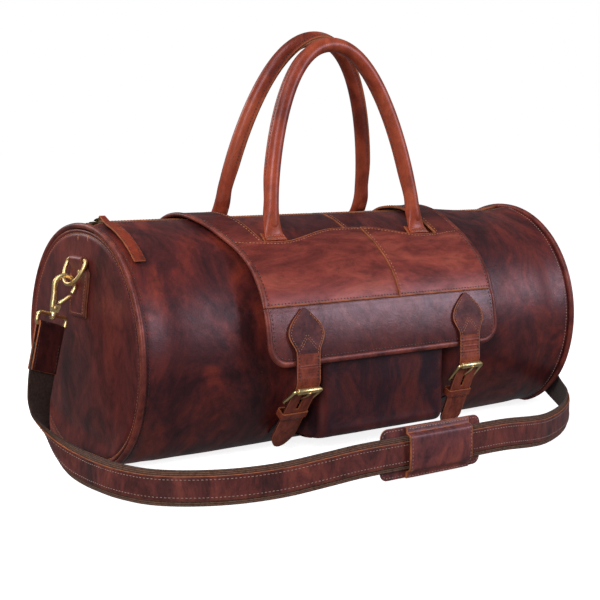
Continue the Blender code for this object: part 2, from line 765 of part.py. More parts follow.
def make_flap_strap(side, x, slope):
    length = BEND_DROP + STRAP_BEND * slope + TAIL_LENGTH
    head = [SPADE_START + SPADE_LENGTH * s for s in (0.0, 0.1, 0.22, 0.36, 0.5, 0.66, 0.82, 1.0)]
    body = [FLAP_LENGTH] + [BEND_DROP + STRAP_BEND * slope * s for s in (0.0, 0.33, 0.67, 1.0)]
    tip = [length - STRAP_POINT * s for s in (1.0, 0.6, 0.25, 0.08, 0.0)]
    rows = []
    for drop in head + body + tip:
        back, out = strap_face(drop, slope)
        front = back + out * STRAP_THICK
        half = strap_half_width(drop, length)
        across = [x + half * s for s in (-1, -0.5, 0, 0.5, 1)]
        rows.append([((u, front.x, front.y), (u, back.x, back.y)) for u in across])
    strap = slab("flap_strap_" + side, rows, None, FLAP_AXIS)
    hole = TONGUE_WIDTH / 2 + 3 * GAP
    low = BUCKLE_HEIGHT + SLOT_REACH
    outline = [(-hole, 0.0), (hole, 0.0), (hole, low), (-hole, low)]
    slot = prism("slot", outline, -STRAP_THICK, 2 * STRAP_THICK, tail_place(x, slope))
    combine(strap, slot, "DIFFERENCE")
    finish(strap, RED_BROWN, 0.45)


def make_buckle(side, x, slope):
    place = tail_place(x, slope)
    heel = place(0.0, BUCKLE_HEIGHT, HEEL_DEPTH)
    bar = place(0.0, 0.0, ROLLER_DEPTH)
    up = (bar - heel).normalized()
    middle = (bar + heel) / 2
    width = STRAP_WIDTH + 2 * (BUCKLE_WIRE + 2 * GAP) + BUCKLE_WIRE
    path = []
    for u, v in rounded(width, (bar - heel).length, 2 * BUCKLE_WIRE, 3):
        path.append(middle + Vector((u, 0.0, 0.0)) + up * v)
    finish(tube("buckle_frame_" + side, path, BUCKLE_WIRE, 8, True, FLAP_AXIS), BRASS, 0.3, 1.0)

    length = width - 6 * BUCKLE_WIRE
    ends = [bar + Vector((length * s, 0.0, 0.0)) for s in (-0.5, 0.5)]
    roller = sleeve("buckle_roller_" + side, ends, [ROLLER_RADIUS] * 2, BUCKLE_WIRE + 2 * GAP, 12, bar)
    finish(roller, BRASS, 0.25, 1.0)

    inner = BUCKLE_WIRE + 2 * GAP
    outer = inner + TONGUE_THICK
    reach = (bar - heel).length + ROLLER_RADIUS * 0.6
    rest = ROLLER_RADIUS + 2 * GAP
    outline = []
    for a in spread(70.0, 380.0, 10):
        outline.append((inner * cos(radians(a)), inner * sin(radians(a))))
    for a in spread(380.0, 110.0, 9):
        outline.append((outer * cos(radians(a)), outer * sin(radians(a))))
    outline += [(rest, reach * 0.7), (rest, reach)]
    outline += [(rest + TONGUE_THICK, reach), (rest + TONGUE_THICK, reach * 0.75)]
    outward = Vector((0.0, -up.z, up.y))

    def tongue_place(u, v, w):
        return heel + outward * u + up * v + Vector((w, 0.0, 0.0))

    half = TONGUE_WIDTH / 2
    finish(prism("buckle_tongue_" + side, outline, -half, half, tongue_place, heel), BRASS, 0.3, 1.0)


def make_chape(side, x, slope):
    """The leather loop that holds the buckle's heel bar, cut out round the tongue, with its foot on the body."""
    place = tail_place(x, slope)
    middle = BAR_BEND + CHAPE_THICK / 2
    end = BUCKLE_HEIGHT + CHAPE_LAP
    path = [place(0.0, end, HEEL_DEPTH + middle)]
    for a in spread(0.0, pi, 8):
        path.append(place(0.0, BUCKLE_HEIGHT - middle * sin(a), HEEL_DEPTH + middle * cos(a)))
    path.append(place(0.0, end, HEEL_DEPTH - middle))
    for angle in CHAPE_FOOT_ANGLES:
        path.append(Vector(on_skin(x, angle, 4 * GAP + CHAPE_THICK / 2)))
    rings = []
    half = Vector((STRAP_WIDTH / 2, 0.0, 0.0))
    for at, frame in zip(path, frames(path)):
        off = Vector((0.0, -frame[0].z, frame[0].y)) * CHAPE_THICK / 2
        rings.append([at - half - off, at + half - off, at + half + off, at - half + off])
    chape = loft("buckle_chape_" + side, rings, False, FLAP_AXIS)
    wide = TONGUE_WIDTH / 2 + 3 * GAP
    low, high = BUCKLE_HEIGHT - 2 * BAR_BEND - CHAPE_THICK, BUCKLE_HEIGHT + 3 * BUCKLE_WIRE
    outline = [(-wide, low), (wide, low), (wide, high), (-wide, high)]
    slot = prism("slot", outline, 2 * HEEL_DEPTH, GAP, place)
    combine(chape, slot, "DIFFERENCE")
    finish(chape, RED_BROWN, 0.45)


def make_keeper(side, x, slope):
    place = tail_place(x, slope)
    front = STRAP_THICK + GAP
    back = HEEL_DEPTH - BAR_BEND - CHAPE_THICK - GAP
    middle = (front + back) / 2
    wide = STRAP_WIDTH + 2 * GAP
    deep = front - back
    inner = rounded(wide, deep, GAP, 2)
    outer = rounded(wide + 2 * KEEPER_THICK, deep + 2 * KEEPER_THICK, GAP + KEEPER_THICK, 2)
    rings = []
    for (u, v), (p, q) in zip(inner, outer):
        ring = []
        for a, b, along in ((u, v, -0.5), (p, q, -0.5), (p, q, 0.5), (u, v, 0.5)):
            ring.append(place(a, KEEPER_PLACE + along * KEEPER_HEIGHT, middle + b))
        rings.append(ring)
    finish(loft("keeper_" + side, rings, True, FLAP_AXIS), RED_BROWN, 0.45)


# Handles

def handle_pivot(front):
    """The middle of a handle's hinge line: the ball ends sit just above the tabs."""
    angle = FRONT_HANDLE_ANGLE if front else -BACK_HANDLE_ANGLE
    y, z = skin(angle, GAP + LEATHER + GAP + HANDLE_RADIUS)
    return Vector((MIDDLE_X, y, z))


def handle_path(front):
    """An arch from one pivot to the other: nearly straight legs under a round top."""
    pivot = handle_pivot(front)
    lean = radians(FRONT_LEAN if front else BACK_LEAN) * (1 if front else -1)
    half = HANDLE_SPACING / 2
    path = []
    for a in spread(-90.0, 90.0, 20):
        share = radians(a)
        x = half * sin(share) * (1.0 - HANDLE_NARROWING * abs(sin(2 * share)))
        rise = (FRONT_RISE if front else BACK_RISE) * cos(share)
        skewed = x + (FRONT_SKEW if front else BACK_SKEW) * cos(share)
        path.append(pivot + Vector((skewed, rise * sin(lean), rise * cos(lean))))
    return path


def make_handle(side, front):
    path = handle_path(front)
    ball = []
    for share in (0.75, 0.45):
        ball.append(share * HANDLE_RADIUS)
    first = (path[1] - path[0]).normalized()
    last = (path[-1] - path[-2]).normalized()
    start = [path[0] - first * d for d in ball]
    end = [path[-1] + last * d for d in reversed(ball)]
    full = start + path + end
    ends = [sqrt(HANDLE_RADIUS ** 2 - d * d) for d in ball]
    radii = ends + [HANDLE_RADIUS] * len(path) + ends[::-1]
    pivot = handle_pivot(front)
    finish(sleeve("handle_" + side, full, radii, CORE_RADIUS, 10, pivot), COGNAC, 0.4)
    finish(tube("handle_core_" + side, full, CORE_RADIUS - 2 * GAP, 8, False, pivot), CORD, 0.9)


def make_handle_tab(name, x, front):
    middle = FRONT_HANDLE_ANGLE if front else -BACK_HANDLE_ANGLE
    sign = 1.0 if front else -1.0
    angles = [middle + sign * a for a in spread(-TAB_ABOVE, TAB_BELOW, 4)]
    rows = []
    for s, end in ((-1.0, 0.9), (-0.5, 1.0), (0.0, 1.0), (0.5, 1.0), (1.0, 0.9)):
        row = []
        for a in angles:
            bent = angles[0] + (a - angles[0]) * end
            place = x + s * TAB_WIDTH / 2
            row.append((on_skin(place, bent, GAP + LEATHER), on_skin(place, bent, GAP)))
        rows.append(row)
    finish(slab(name, rows), COGNAC, 0.4)


# Rings and hooks at the ends, made for the left end and mirrored for the right.

def mirrored(points, sign):
    return [Vector((sign * p[0], p[1], p[2])) for p in points]


RING_BEND = RING_WIRE + GAP
RING_X = end_face(RING_Y, RING_Z, 2 * GAP + RING_TAB_THICK + RING_BEND)


def make_ring_tab(side, sign):
    """A strip up the end panel, folded over the ring's bar and back down on itself."""
    half = RING_TAB_THICK / 2
    fold = RING_BEND + half
    low = RING_TAB_END_Z
    back = [(end_face(RING_Y, z, 2 * GAP + half), z) for z in spread(low, RING_Z, 5)]
    turn = [(RING_X - fold * cos(a), RING_Z + fold * sin(a)) for a in spread(0.0, pi, 8)]
    down = spread(RING_Z - 0.012, low + 0.004, 4)
    face = [(end_face(RING_Y, z, 3 * GAP + RING_TAB_THICK + half), z) for z in down]
    path = back[:-1] + turn + face
    rings = []
    for (x, z), frame in zip(path, frames([(x, 0.0, z) for x, z in path])):
        off = Vector((-frame[0].z, 0.0, frame[0].x)) * half
        at = Vector((x, RING_Y, z))
        wide = Vector((0.0, RING_TAB_WIDTH / 2, 0.0))
        rings.append(mirrored([at - wide - off, at + wide - off, at + wide + off, at - wide + off], sign))
    finish(loft("ring_tab_" + side, rings), RED_BROWN, 0.45)


def ring_point(u, v):
    """A point of the D-ring: u along its bar, v down from it, leaning out from the bag."""
    lean = radians(RING_LEAN)
    return Vector((RING_X + v * sin(lean), RING_Y + u, RING_Z - v * cos(lean)))


def make_ring(side, sign):
    half = RING_WIDTH / 2
    bow = [(half * cos(a), half * 0.3 + (RING_DEPTH - half * 0.3) * sin(a)) for a in spread(0.0, pi, 12)]
    track = [(-half * 0.87, 0.0), (0.0, 0.0), (half * 0.87, 0.0), (half * 0.98, half * 0.1)] + bow
    track += [(-half * 0.98, half * 0.1)]
    path = mirrored([ring_point(u, v) for u, v in track], sign)
    origin = mirrored([ring_point(0.0, 0.0)], sign)[0]
    finish(tube("d_ring_" + side, path, RING_WIRE, 8, True, origin), BRASS, 0.3, 1.0)


# The hook hangs from the ring's bow and leans out to its eye.
BOW_LOW = ring_point(0.0, RING_DEPTH)
HOOK_AXIS = Vector((-sin(HOOK_LEAN), 0.0, cos(HOOK_LEAN)))
HOOK_ACROSS = Vector((-sin(HOOK_TURN), -cos(HOOK_TURN), 0.0))
HOOK_ACROSS = (HOOK_ACROSS - HOOK_AXIS * HOOK_ACROSS.dot(HOOK_AXIS)).normalized()
HOOK_NORMAL = HOOK_AXIS.cross(HOOK_ACROSS)
HOOK_BOW_INSIDE = HOOK_LENGTH - HOOK_WIRE
HOOK_DROP = RING_WIRE + HOOK_PLAY + HOOK_WIRE - HOOK_BOW_INSIDE
HOOK_START = BOW_LOW + HOOK_AXIS * HOOK_DROP - HOOK_ACROSS * (HOOK_SHIFT + HOOK_OFFSET)
GATE_PIVOT = (0.0032, HOOK_BASE_HEIGHT + 0.6 * GATE_WIRE + GAP)
GATE_TIP = (0.0144, 0.0228)
STUD_DROP = EYE_BOSS_HEIGHT + 2 * GAP


def hook_place(u, v, w=0.0):
    """A point of the hook: u across it, v along its axis from its base, w through it."""
    return HOOK_START + HOOK_ACROSS * u + HOOK_AXIS * v + HOOK_NORMAL * w


def make_hook(side, sign):
    def place(u, v, w):
        return mirrored([hook_place(u, v, w)], sign)[0]

    origin = place(0.0, 0.0, 0.0)
    half = HOOK_BASE_THICK / 2
    wide = HOOK_BASE_WIDTH / 2
    shape = [(-wide * 0.75, 0.0), (wide * 0.75, 0.0), (wide, HOOK_BASE_HEIGHT), (-wide, HOOK_BASE_HEIGHT)]
    hook = prism("hook_body_" + side, shape, -half, half, place, origin)
    centre_v = HOOK_LENGTH - HOOK_WIRE - HOOK_BOW_RADIUS
    centre_u = HOOK_SHIFT
    track = [(-wide * 0.6, HOOK_BASE_HEIGHT * 0.7), (-0.0052, 0.020)]
    for a in spread(180.0, -25.0, 9):
        u, v = cos(radians(a)), sin(radians(a))
        track.append((centre_u + HOOK_BOW_RADIUS * u, centre_v + HOOK_BOW_RADIUS * v))
    track.append((GATE_TIP[0] + 0.0004, GATE_TIP[1] + HOOK_WIRE + GAP))
    loop = tube("loop", [place(u, v, 0.0) for u, v in track], HOOK_WIRE, 8)
    combine(hook, loop, "UNION")
    steps = (HOOK_BASE_HEIGHT / 2, -STUD_DROP, -STUD_DROP - GAP, -STUD_DROP - STUD_RADIUS)
    stud_path = [place(0.0, v, 0.0) for v in steps]
    head = STUD_RADIUS * 1.7
    stud = tube("stud", stud_path, [STUD_RADIUS, STUD_RADIUS, head, head], 10)
    combine(hook, stud, "UNION")
    finish(hook, BRASS, 0.3, 1.0)

    gate = [place(*GATE_PIVOT, 0.0), place(*GATE_TIP, 0.0)]
    finish(tube("hook_gate_" + side, gate, GATE_WIRE, 8, False, gate[0]), BRASS, 0.3, 1.0)


EYE_TOP = -GAP - EYE_BOSS_HEIGHT / 2
EYE_WIDTH = WEBBING_WIDTH + 2 * EYE_WIRE + 4 * GAP
EYE_ACROSS = Vector((cos(EYE_TURN), -sin(EYE_TURN), 0.0))
EYE_ACROSS = (EYE_ACROSS - HOOK_AXIS * EYE_ACROSS.dot(HOOK_AXIS)).normalized()
EYE_BAR = hook_place(0.0, EYE_TOP - EYE_HEIGHT)


def make_eye(side, sign):
    """A wire rectangle for the strap, with a bored boss that the hook's stud turns in."""
    middle = hook_place(0.0, EYE_TOP - EYE_HEIGHT / 2)
    path = [middle + EYE_ACROSS * u + HOOK_AXIS * v for u, v in rounded(EYE_WIDTH, EYE_HEIGHT, 0.004, 3)]
    eye = tube("hook_eye_" + side, mirrored(path, sign), EYE_WIRE, 8, True)
    ends = mirrored([hook_place(0.0, EYE_TOP + EYE_BOSS_HEIGHT * s) for s in (-0.5, 0.5)], sign)
    boss = tube("boss", ends, EYE_BOSS_RADIUS, 12)
    combine(eye, boss, "UNION")
    ends = mirrored([hook_place(0.0, EYE_TOP + EYE_BOSS_HEIGHT * s) for s in (-0.8, 0.8)], sign)
    bore = tube("bore", ends, STUD_RADIUS + 2 * GAP, 12)
    combine(eye, bore, "DIFFERENCE")
    finish(eye, BRASS, 0.3, 1.0)


# Shoulder strap

def smooth_route():
    """Points on a smooth curve through the route, each with the direction of the strap's width."""
    points = [Vector(p) for p in STRAP_ROUTE]
    count = len(points)
    places = []
    for i in range(count - 1):
        a, b = points[max(i - 1, 0)], points[i]
        c, d = points[i + 1], points[min(i + 2, count - 1)]
        for k in range(STRAP_STEPS):
            u = k / STRAP_STEPS
            bend = (a * 2 - b * 5 + c * 4 - d) * u * u + (b * 3 - a - c * 3 + d) * u ** 3
            places.append((b + ((c - a) * u + bend) / 2, i + u))
    places.append((points[-1], count - 1.0))
    result = []
    turns = frames([p for p, _ in places])
    for (place, at), (along, _, _) in zip(places, turns):
        from_end = min(at, count - 1 - at)
        stand = ease(from_end, 1.0, 7.0) * pi / 2
        turn = EYE_TURN + (END_TURN - EYE_TURN) * ease(from_end, 1.0, 3.5)
        turned = Vector((cos(turn) * (1.0 if at < count / 2 else -1.0), sin(turn), 0.0))
        wide = turned * cos(stand) - Vector((0.0, 0.0, sin(stand)))
        wide = (wide - along * wide.dot(along)).normalized()
        result.append((place, along, wide, wide.cross(along)))
    return result


ROUTE = smooth_route()


def band(name, columns, low, high, first, last):
    """A flat band along the strap's route, from one offset of its face to another."""
    rows = []
    for place, _, wide, out in ROUTE[first:last]:
        rows.append([(place + wide * c + out * high, place + wide * c + out * low) for c in columns])
    return slab(name, rows)


def make_strap():
    half = WEBBING_THICK / 2
    inner = [-OVERLAY_WIDTH / 2, OVERLAY_WIDTH / 2]
    columns = [-WEBBING_WIDTH / 2] + inner + [WEBBING_WIDTH / 2]
    finish(band("shoulder_webbing", columns, -half, half, 0, len(ROUTE)), OLIVE, 0.85)
    low = half + GAP
    lead = OVERLAY_LEAD * STRAP_STEPS
    overlay = band("shoulder_overlay", inner, low, low + OVERLAY_THICK, lead, len(ROUTE) - lead)
    finish(overlay, BURGUNDY, 0.45)


def make_strap_end(side, sign):
    """A leather strip folded over the eye's bar, with the end of the webbing between its layers."""
    place = ROUTE[-1 - STRAP_STEPS][0]
    up = (EYE_BAR - place).normalized()
    out = EYE_ACROSS.cross(up).normalized()
    half = STRAP_END_THICK / 2
    fold = EYE_WIRE + GAP + half
    sheet = WEBBING_THICK / 2 + 2 * GAP + half
    length = (EYE_BAR - place).length
    wide = EYE_ACROSS * (WEBBING_WIDTH / 2 - 2 * GAP)
    track = [(sheet, length), (sheet, length * 0.55), (fold, length * 0.25)]
    track += [(fold * cos(a), -fold * sin(a)) for a in spread(0.0, pi, 8)]
    track += [(-fold, length * 0.25), (-sheet, length * 0.55), (-sheet, length)]
    path = [EYE_BAR + out * u - up * v for u, v in track]
    rings = []
    for at, frame in zip(path, frames(path)):
        off = frame[0].cross(EYE_ACROSS).normalized() * half
        rings.append(mirrored([at - wide - off, at + wide - off, at + wide + off, at - wide + off], sign))
    finish(loft("strap_end_" + side, rings), BURGUNDY, 0.4)


PAD_PLACE = Vector(min(STRAP_ROUTE, key=lambda p: abs(p[0] - PAD_X)))


def make_pad():
    """A back piece and a cover that is sewn to it above and below the strap, free to slide along it."""
    half = WEBBING_THICK / 2
    behind = half + PAD_CLEAR
    ahead = half + GAP + OVERLAY_THICK + PAD_CLEAR

    def back_place(u, v, w):
        return PAD_PLACE + Vector((u, w, v))

    outline = rounded(PAD_LENGTH, PAD_HEIGHT, 0.010, 3)
    finish(prism("pad_back", outline, behind, behind + PAD_THICK, back_place, PAD_PLACE), RED_BROWN, 0.45)

    room = WEBBING_WIDTH / 2 + PAD_CLEAR
    top = PAD_HEIGHT / 2
    seat = behind - GAP
    face = -ahead - PAD_THICK
    edge = 0.004
    profile = [(seat, top), (face + edge, top), (face, top - edge)]
    profile += [(face, edge - top), (face + edge, -top), (seat, -top)]
    profile += [(seat, -room), (-ahead, -room), (-ahead, room), (seat, room)]
    cover = PAD_COVER_LENGTH / 2
    cover_x = PAD_X + 0.007

    def cover_place(y, z, x):
        return Vector((cover_x + x, PAD_PLACE.y + y, PAD_PLACE.z + z))

    finish(prism("pad_cover", profile, -cover, cover, cover_place, PAD_PLACE), RED_BROWN, 0.45)


def main():
    make_body()
    make_lining()
    make_zip()
    make_slider()
    make_link()
    make_puller()
    make_flap()
    make_pocket()
    for side, sign in (("left", -1.0), ("right", 1.0)):
        make_end(side, sign)
        make_saddle(side, sign)
        x = MIDDLE_X + sign * STRAP_SPACING / 2
        slope = TAIL_SLOPES[side]
        make_flap_strap(side, x, slope)
        make_buckle(side, x, slope)
        make_chape(side, x, slope)
        make_keeper(side, x, slope)
        make_ring_tab(side, sign)
        make_ring(side, sign)
        make_hook(side, sign)
        make_eye(side, sign)
        make_strap_end(side, sign)
    for side, front in (("front", True), ("back", False)):
        make_handle(side, front)
        for end, sign in (("left", -1.0), ("right", 1.0)):
            make_handle_tab("handle_tab_" + side + "_" + end, MIDDLE_X + sign * HANDLE_SPACING / 2, front)
    make_strap()
    make_pad()


main()
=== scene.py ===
"""The looks of a round leather duffel bag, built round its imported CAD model.

Metres, in the frame of the CAD model. Every piece sits at the origin with its place in its mesh,
so object coordinates in the materials are metres too.
"""
from math import asin, cos, degrees, exp, hypot, pi, radians, sin, sqrt

import bmesh
import bpy
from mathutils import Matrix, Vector, noise


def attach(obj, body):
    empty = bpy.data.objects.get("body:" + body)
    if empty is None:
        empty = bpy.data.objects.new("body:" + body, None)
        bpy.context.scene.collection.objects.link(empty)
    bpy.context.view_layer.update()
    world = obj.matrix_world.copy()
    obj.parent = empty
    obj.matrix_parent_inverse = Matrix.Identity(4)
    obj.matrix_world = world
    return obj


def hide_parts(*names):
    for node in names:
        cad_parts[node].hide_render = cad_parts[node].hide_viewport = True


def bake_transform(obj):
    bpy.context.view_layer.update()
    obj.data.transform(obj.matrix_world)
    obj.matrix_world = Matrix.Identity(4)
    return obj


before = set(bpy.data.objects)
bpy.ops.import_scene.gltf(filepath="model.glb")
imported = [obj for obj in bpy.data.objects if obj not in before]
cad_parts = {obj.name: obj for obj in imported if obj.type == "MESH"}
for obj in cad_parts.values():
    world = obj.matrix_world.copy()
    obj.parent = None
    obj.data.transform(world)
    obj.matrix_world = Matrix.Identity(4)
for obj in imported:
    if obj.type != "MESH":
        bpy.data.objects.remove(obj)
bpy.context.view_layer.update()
SIDES = (("left", -1.0), ("right", 1.0))
FACES = (("front", 1.0), ("back", -1.0))
INSIDE = Vector((0.0, 0.0, 0.14))

# Sizes, as in the CAD model
LENGTH, WIDTH, HEIGHT, WAIST, BASE_WIDTH = 0.685, 0.272, 0.280, 0.132, 0.064
LEATHER, PIPING_RADIUS, PIPING_PROUD, END_BULGE, GAP = 0.003, 0.0035, 0.001, 0.008, 0.0003
ZIP_LENGTH, ZIP_SLOT, TEETH_PART, TEETH_WIDTH, TEETH_THICK = 0.650, 0.022, 0.0024, 0.0026, 0.0030
SLIDER_X, SLIDER_PLATE, SLIDER_CROWN, LINK_WIRE, LINK_LENGTH = -0.318, 0.0016, 0.0015, 0.0009, 0.010
PULLER_LENGTH, PULLER_WIDTH, PULLER_NECK, PULLER_THICK, PULLER_FOLD = 0.094, 0.0145, 0.0070, 0.0020, 0.010
MIDDLE_X, SADDLE_WIDTH, STRIP_WIDTH, SADDLE_SEAM = -0.009, 0.362, 0.046, 0.022
STRIP_BACK_END, LEFT_FLARE, WAVE_CREST, WAVE_DIP, WAVE_SIDE = -60.0, 0.022, 30.0, 38.5, 36.0
SEAM_ANGLE, LIFT_BACK, LIFT_TOP, LIFT_SEAM = 72.0, 0.0010, 0.0030, 0.019
FLAP_DROP, FLAP_FRONT, FLAP_CORNER, BINDING_RADIUS = 0.068, 0.1575, 0.022, 0.0023
POCKET_WIDTH, POCKET_FRONT, POCKET_TOP, POCKET_BOTTOM, POCKET_CORNER = 0.196, 0.151, 0.160, 0.020, 0.012
STRAP_SPACING, STRAP_WIDTH, STRAP_THICK = 0.256, 0.034, 0.0025
SPADE_WIDTH, SPADE_LENGTH, SPADE_START, SPADE_PEAK, POINT_WIDTH = 0.052, 0.052, 0.003, 0.58, 0.002
STRAP_HANG, STRAP_BEND, TAIL_LENGTH, STRAP_POINT = 0.014, 0.020, 0.098, 0.018
TAIL_SLOPES = {"left": radians(36.0), "right": radians(24.0)}
BUCKLE_WIRE, BUCKLE_HEIGHT, ROLLER_RADIUS = 0.0016, 0.026, 0.0030
TONGUE_WIDTH, TONGUE_THICK, SLOT_REACH = 0.0036, 0.0014, 0.008
CHAPE_THICK, CHAPE_LAP, CHAPE_FOOT_ANGLES = 0.0015, 0.026, (138.0, 143.0)
KEEPER_PLACE, KEEPER_HEIGHT, KEEPER_THICK = 0.044, 0.009, 0.0015
HANDLE_SPACING, HANDLE_RADIUS, HANDLE_NARROWING = 0.228, 0.009, 0.06
RISE = {"front": 0.218, "back": 0.222}
LEAN = {"front": radians(4.0), "back": radians(-14.0)}
SKEW = {"front": -0.010, "back": -0.003}
HANDLE_ANGLE = {"front": 28.0, "back": -16.0}
RING_Y, RING_WIDTH, RING_DEPTH, RING_WIRE, RING_Z = -0.008, 0.044, 0.030, 0.0022, 0.238
RING_LEAN, RING_TAB_WIDTH, RING_TAB_END_Z, RING_TAB_THICK = radians(25.0), 0.036, 0.172, 0.002
HOOK_WIRE, GATE_WIRE, HOOK_LENGTH, HOOK_PLAY = 0.0024, 0.0020, 0.046, 0.0042
HOOK_SHIFT, HOOK_OFFSET = 0.0043, 0.003
HOOK_LEAN, HOOK_TURN, HOOK_BOW_RADIUS = radians(18.0), radians(82.0), 0.0119
HOOK_BASE_WIDTH, HOOK_BASE_HEIGHT, HOOK_BASE_THICK, STUD_RADIUS = 0.011, 0.009, 0.0055, 0.0018
EYE_WIRE, EYE_HEIGHT, EYE_BOSS_RADIUS, EYE_BOSS_HEIGHT = 0.0020, 0.013, 0.0045, 0.006
WEBBING_WIDTH, WEBBING_THICK, OVERLAY_WIDTH, OVERLAY_THICK = 0.038, 0.0024, 0.026, 0.0018
STRAP_END_THICK, PAD_LENGTH, PAD_HEIGHT, PAD_THICK = 0.002, 0.150, 0.058, 0.004
PAD_COVER_LENGTH, PAD_CLEAR, PAD_PLACE = 0.095, 0.0008, Vector((-0.054, -0.285, 0.0302))
STRAP_ROUTE = [
    (-0.3895, -0.0070, 0.1445), (-0.3940, -0.0072, 0.1250), (-0.3985, -0.0069, 0.1000),
    (-0.4010, -0.0076, 0.0760), (-0.3995, -0.0150, 0.0530), (-0.3965, -0.0350, 0.0350),
    (-0.3940, -0.0630, 0.0245), (-0.3915, -0.0960, 0.0197), (-0.3910, -0.1300, 0.0193),
    (-0.3870, -0.1670, 0.0193), (-0.3730, -0.2060, 0.0193), (-0.3430, -0.2360, 0.0193),
    (-0.3000, -0.2570, 0.0193), (-0.2500, -0.2700, 0.0210), (-0.2000, -0.2805, 0.0265),
    (-0.1600, -0.2850, 0.0300), (-0.1050, -0.2850, 0.0302), (-0.0540, -0.2850, 0.0302),
    (0.0050, -0.2850, 0.0302), (0.0600, -0.2850, 0.0300), (0.1100, -0.2790, 0.0255),
    (0.1550, -0.2620, 0.0205), (0.2050, -0.2380, 0.0193), (0.2530, -0.2070, 0.0193),
    (0.2980, -0.1680, 0.0193), (0.3350, -0.1260, 0.0196), (0.3650, -0.0870, 0.0220),
    (0.3880, -0.0480, 0.0330), (0.4000, -0.0150, 0.0540), (0.4020, -0.0076, 0.0770),
    (0.3990, -0.0069, 0.1000), (0.3940, -0.0072, 0.1250), (0.3895, -0.0070, 0.1445),
]
STRAP_LENGTH = 1.31
EYE_TURN, END_TURN = radians(14.0), radians(28.0)
SOFT_BEVEL, BEVEL, FINE_BEVEL, THIN_BEVEL = 0.0006, 0.0005, 0.0004, 0.0003

# Kinds of stitch: pitch along the seam, length and thread radius
STITCH = {
    "body": (0.0042, 0.0031, 0.00045), "end": (0.0042, 0.0031, 0.0007), "tack": (0.007, 0.0075, 0.0009),
    "puller": (0.0040, 0.0029, 0.00035), "saddle": (0.0048, 0.0032, 0.0006),
    "hinge": (0.0048, 0.0030, 0.0007), "flap": (0.0048, 0.0032, 0.00065),
    "spade": (0.0034, 0.0024, 0.0004), "strap": (0.0044, 0.0028, 0.00055),
    "keeper": (0.0034, 0.0024, 0.00035), "handle": (0.0042, 0.0030, 0.0004),
    "foot": (0.0034, 0.0024, 0.00045), "ring_tab": (0.0038, 0.0027, 0.0004),
    "overlay": (0.0044, 0.0030, 0.00042), "strap_end": (0.0040, 0.0028, 0.0004),
    "pad": (0.0042, 0.0030, 0.00045), "cover": (0.0042, 0.0029, 0.00040),
}


# Camera, light and floor

scene = bpy.context.scene
camera = bpy.data.objects.new("camera", bpy.data.cameras.new("camera"))
camera.location = (-1.018, -1.334, 0.368)
camera.rotation_euler = (radians(90.0 - 6.87), 0.0, radians(-36.58))
camera.data.lens = 77.28
camera.data.sensor_width = 36.0
scene.collection.objects.link(camera)
scene.camera = camera
scene.view_settings.view_transform = "Standard"


def area_light(name, place, target, size, power, colour=(1.0, 1.0, 1.0)):
    data = bpy.data.lights.new(name, "AREA")
    data.shape = "RECTANGLE"
    data.size, data.size_y = size
    data.energy = power
    data.color = colour
    lamp = bpy.data.objects.new(name, data)
    lamp.location = place
    aim = Vector(target) - Vector(place)
    lamp.rotation_euler = aim.to_track_quat("-Z", "Y").to_euler()
    scene.collection.objects.link(lamp)


area_light("softbox_top", (-0.9, -0.35, 1.75), (0.0, -0.05, 0.15), (1.0, 0.9), 10.5)
area_light("softbox_left", (-1.9, -1.5, 1.15), (-0.1, 0.0, 0.2), (0.9, 1.1), 33.0)
area_light("softbox_right", (1.40, -1.62, 0.84), (0.0, -0.1, 0.17), (0.75, 0.80), 19.5, (0.88, 0.88, 1.0))
area_light("softbox_back", (-1.1, 2.0, 1.4), (0.0, 0.0, 0.2), (1.2, 0.9), 14.0)


def make_studio():
    """White to look at, but a dim grey room for what the leather reflects."""
    world = bpy.data.worlds.new("studio")
    world.use_nodes = True
    tree = world.node_tree
    seen = tree.nodes["Background"]
    seen.inputs["Color"].default_value = (1.0, 1.0, 1.0, 1.0)
    room = tree.nodes.new("ShaderNodeBackground")
    room.inputs["Color"].default_value = (0.93, 0.96, 1.0, 1.0)
    room.inputs["Strength"].default_value = 0.18
    pick = tree.nodes.new("ShaderNodeMixShader")
    path = tree.nodes.new("ShaderNodeLightPath")
    for slot, source in enumerate((path.outputs["Is Camera Ray"], room.outputs[0], seen.outputs[0])):
        tree.links.new(source, pick.inputs[slot])
    tree.links.new(pick.outputs[0], tree.nodes["World Output"].inputs["Surface"])
    scene.world = world


make_studio()


# Materials

def shader(name):
    material = bpy.data.materials.new(name)
    material.use_nodes = True
    tree = material.node_tree
    return material, tree, tree.nodes["Principled BSDF"]


def feed(tree, made, links, **values):
    """Sets a node's inputs by name, from other nodes' outputs or to plain values."""
    for key, source in links.items():
        tree.links.new(source, made.inputs[key])
    for key, value in values.items():
        made.inputs[key.replace("_", " ")].default_value = value
    return made


def node(tree, kind, links=None, **values):
    """A node with its properties, its links and its other inputs."""
    made = tree.nodes.new(kind)
    for key in [key for key in values if hasattr(made, key)]:
        setattr(made, key, values.pop(key))
    return feed(tree, made, links or {}, **values)


def ramp(tree, source, stops):
    made = node(tree, "ShaderNodeValToRGB", {"Fac": source})
    points = made.color_ramp.elements
    while len(points) < len(stops):
        points.new(0.5)
    for point, (at, colour) in zip(points, stops):
        point.position = at
        point.color = (*colour, 1.0)
    return made.outputs["Color"]


def grey(value):
    return (value, value, value)


def times(colour, share):
    return tuple(min(1.0, c * share) for c in colour)


def coordinates(tree, stretch=(1.0, 1.0, 1.0), shift=(0.0, 0.0, 0.0)):
    place = node(tree, "ShaderNodeTexCoord").outputs["Object"]
    return node(tree, "ShaderNodeMapping", {"Vector": place}, Scale=stretch, Location=shift).outputs["Vector"]


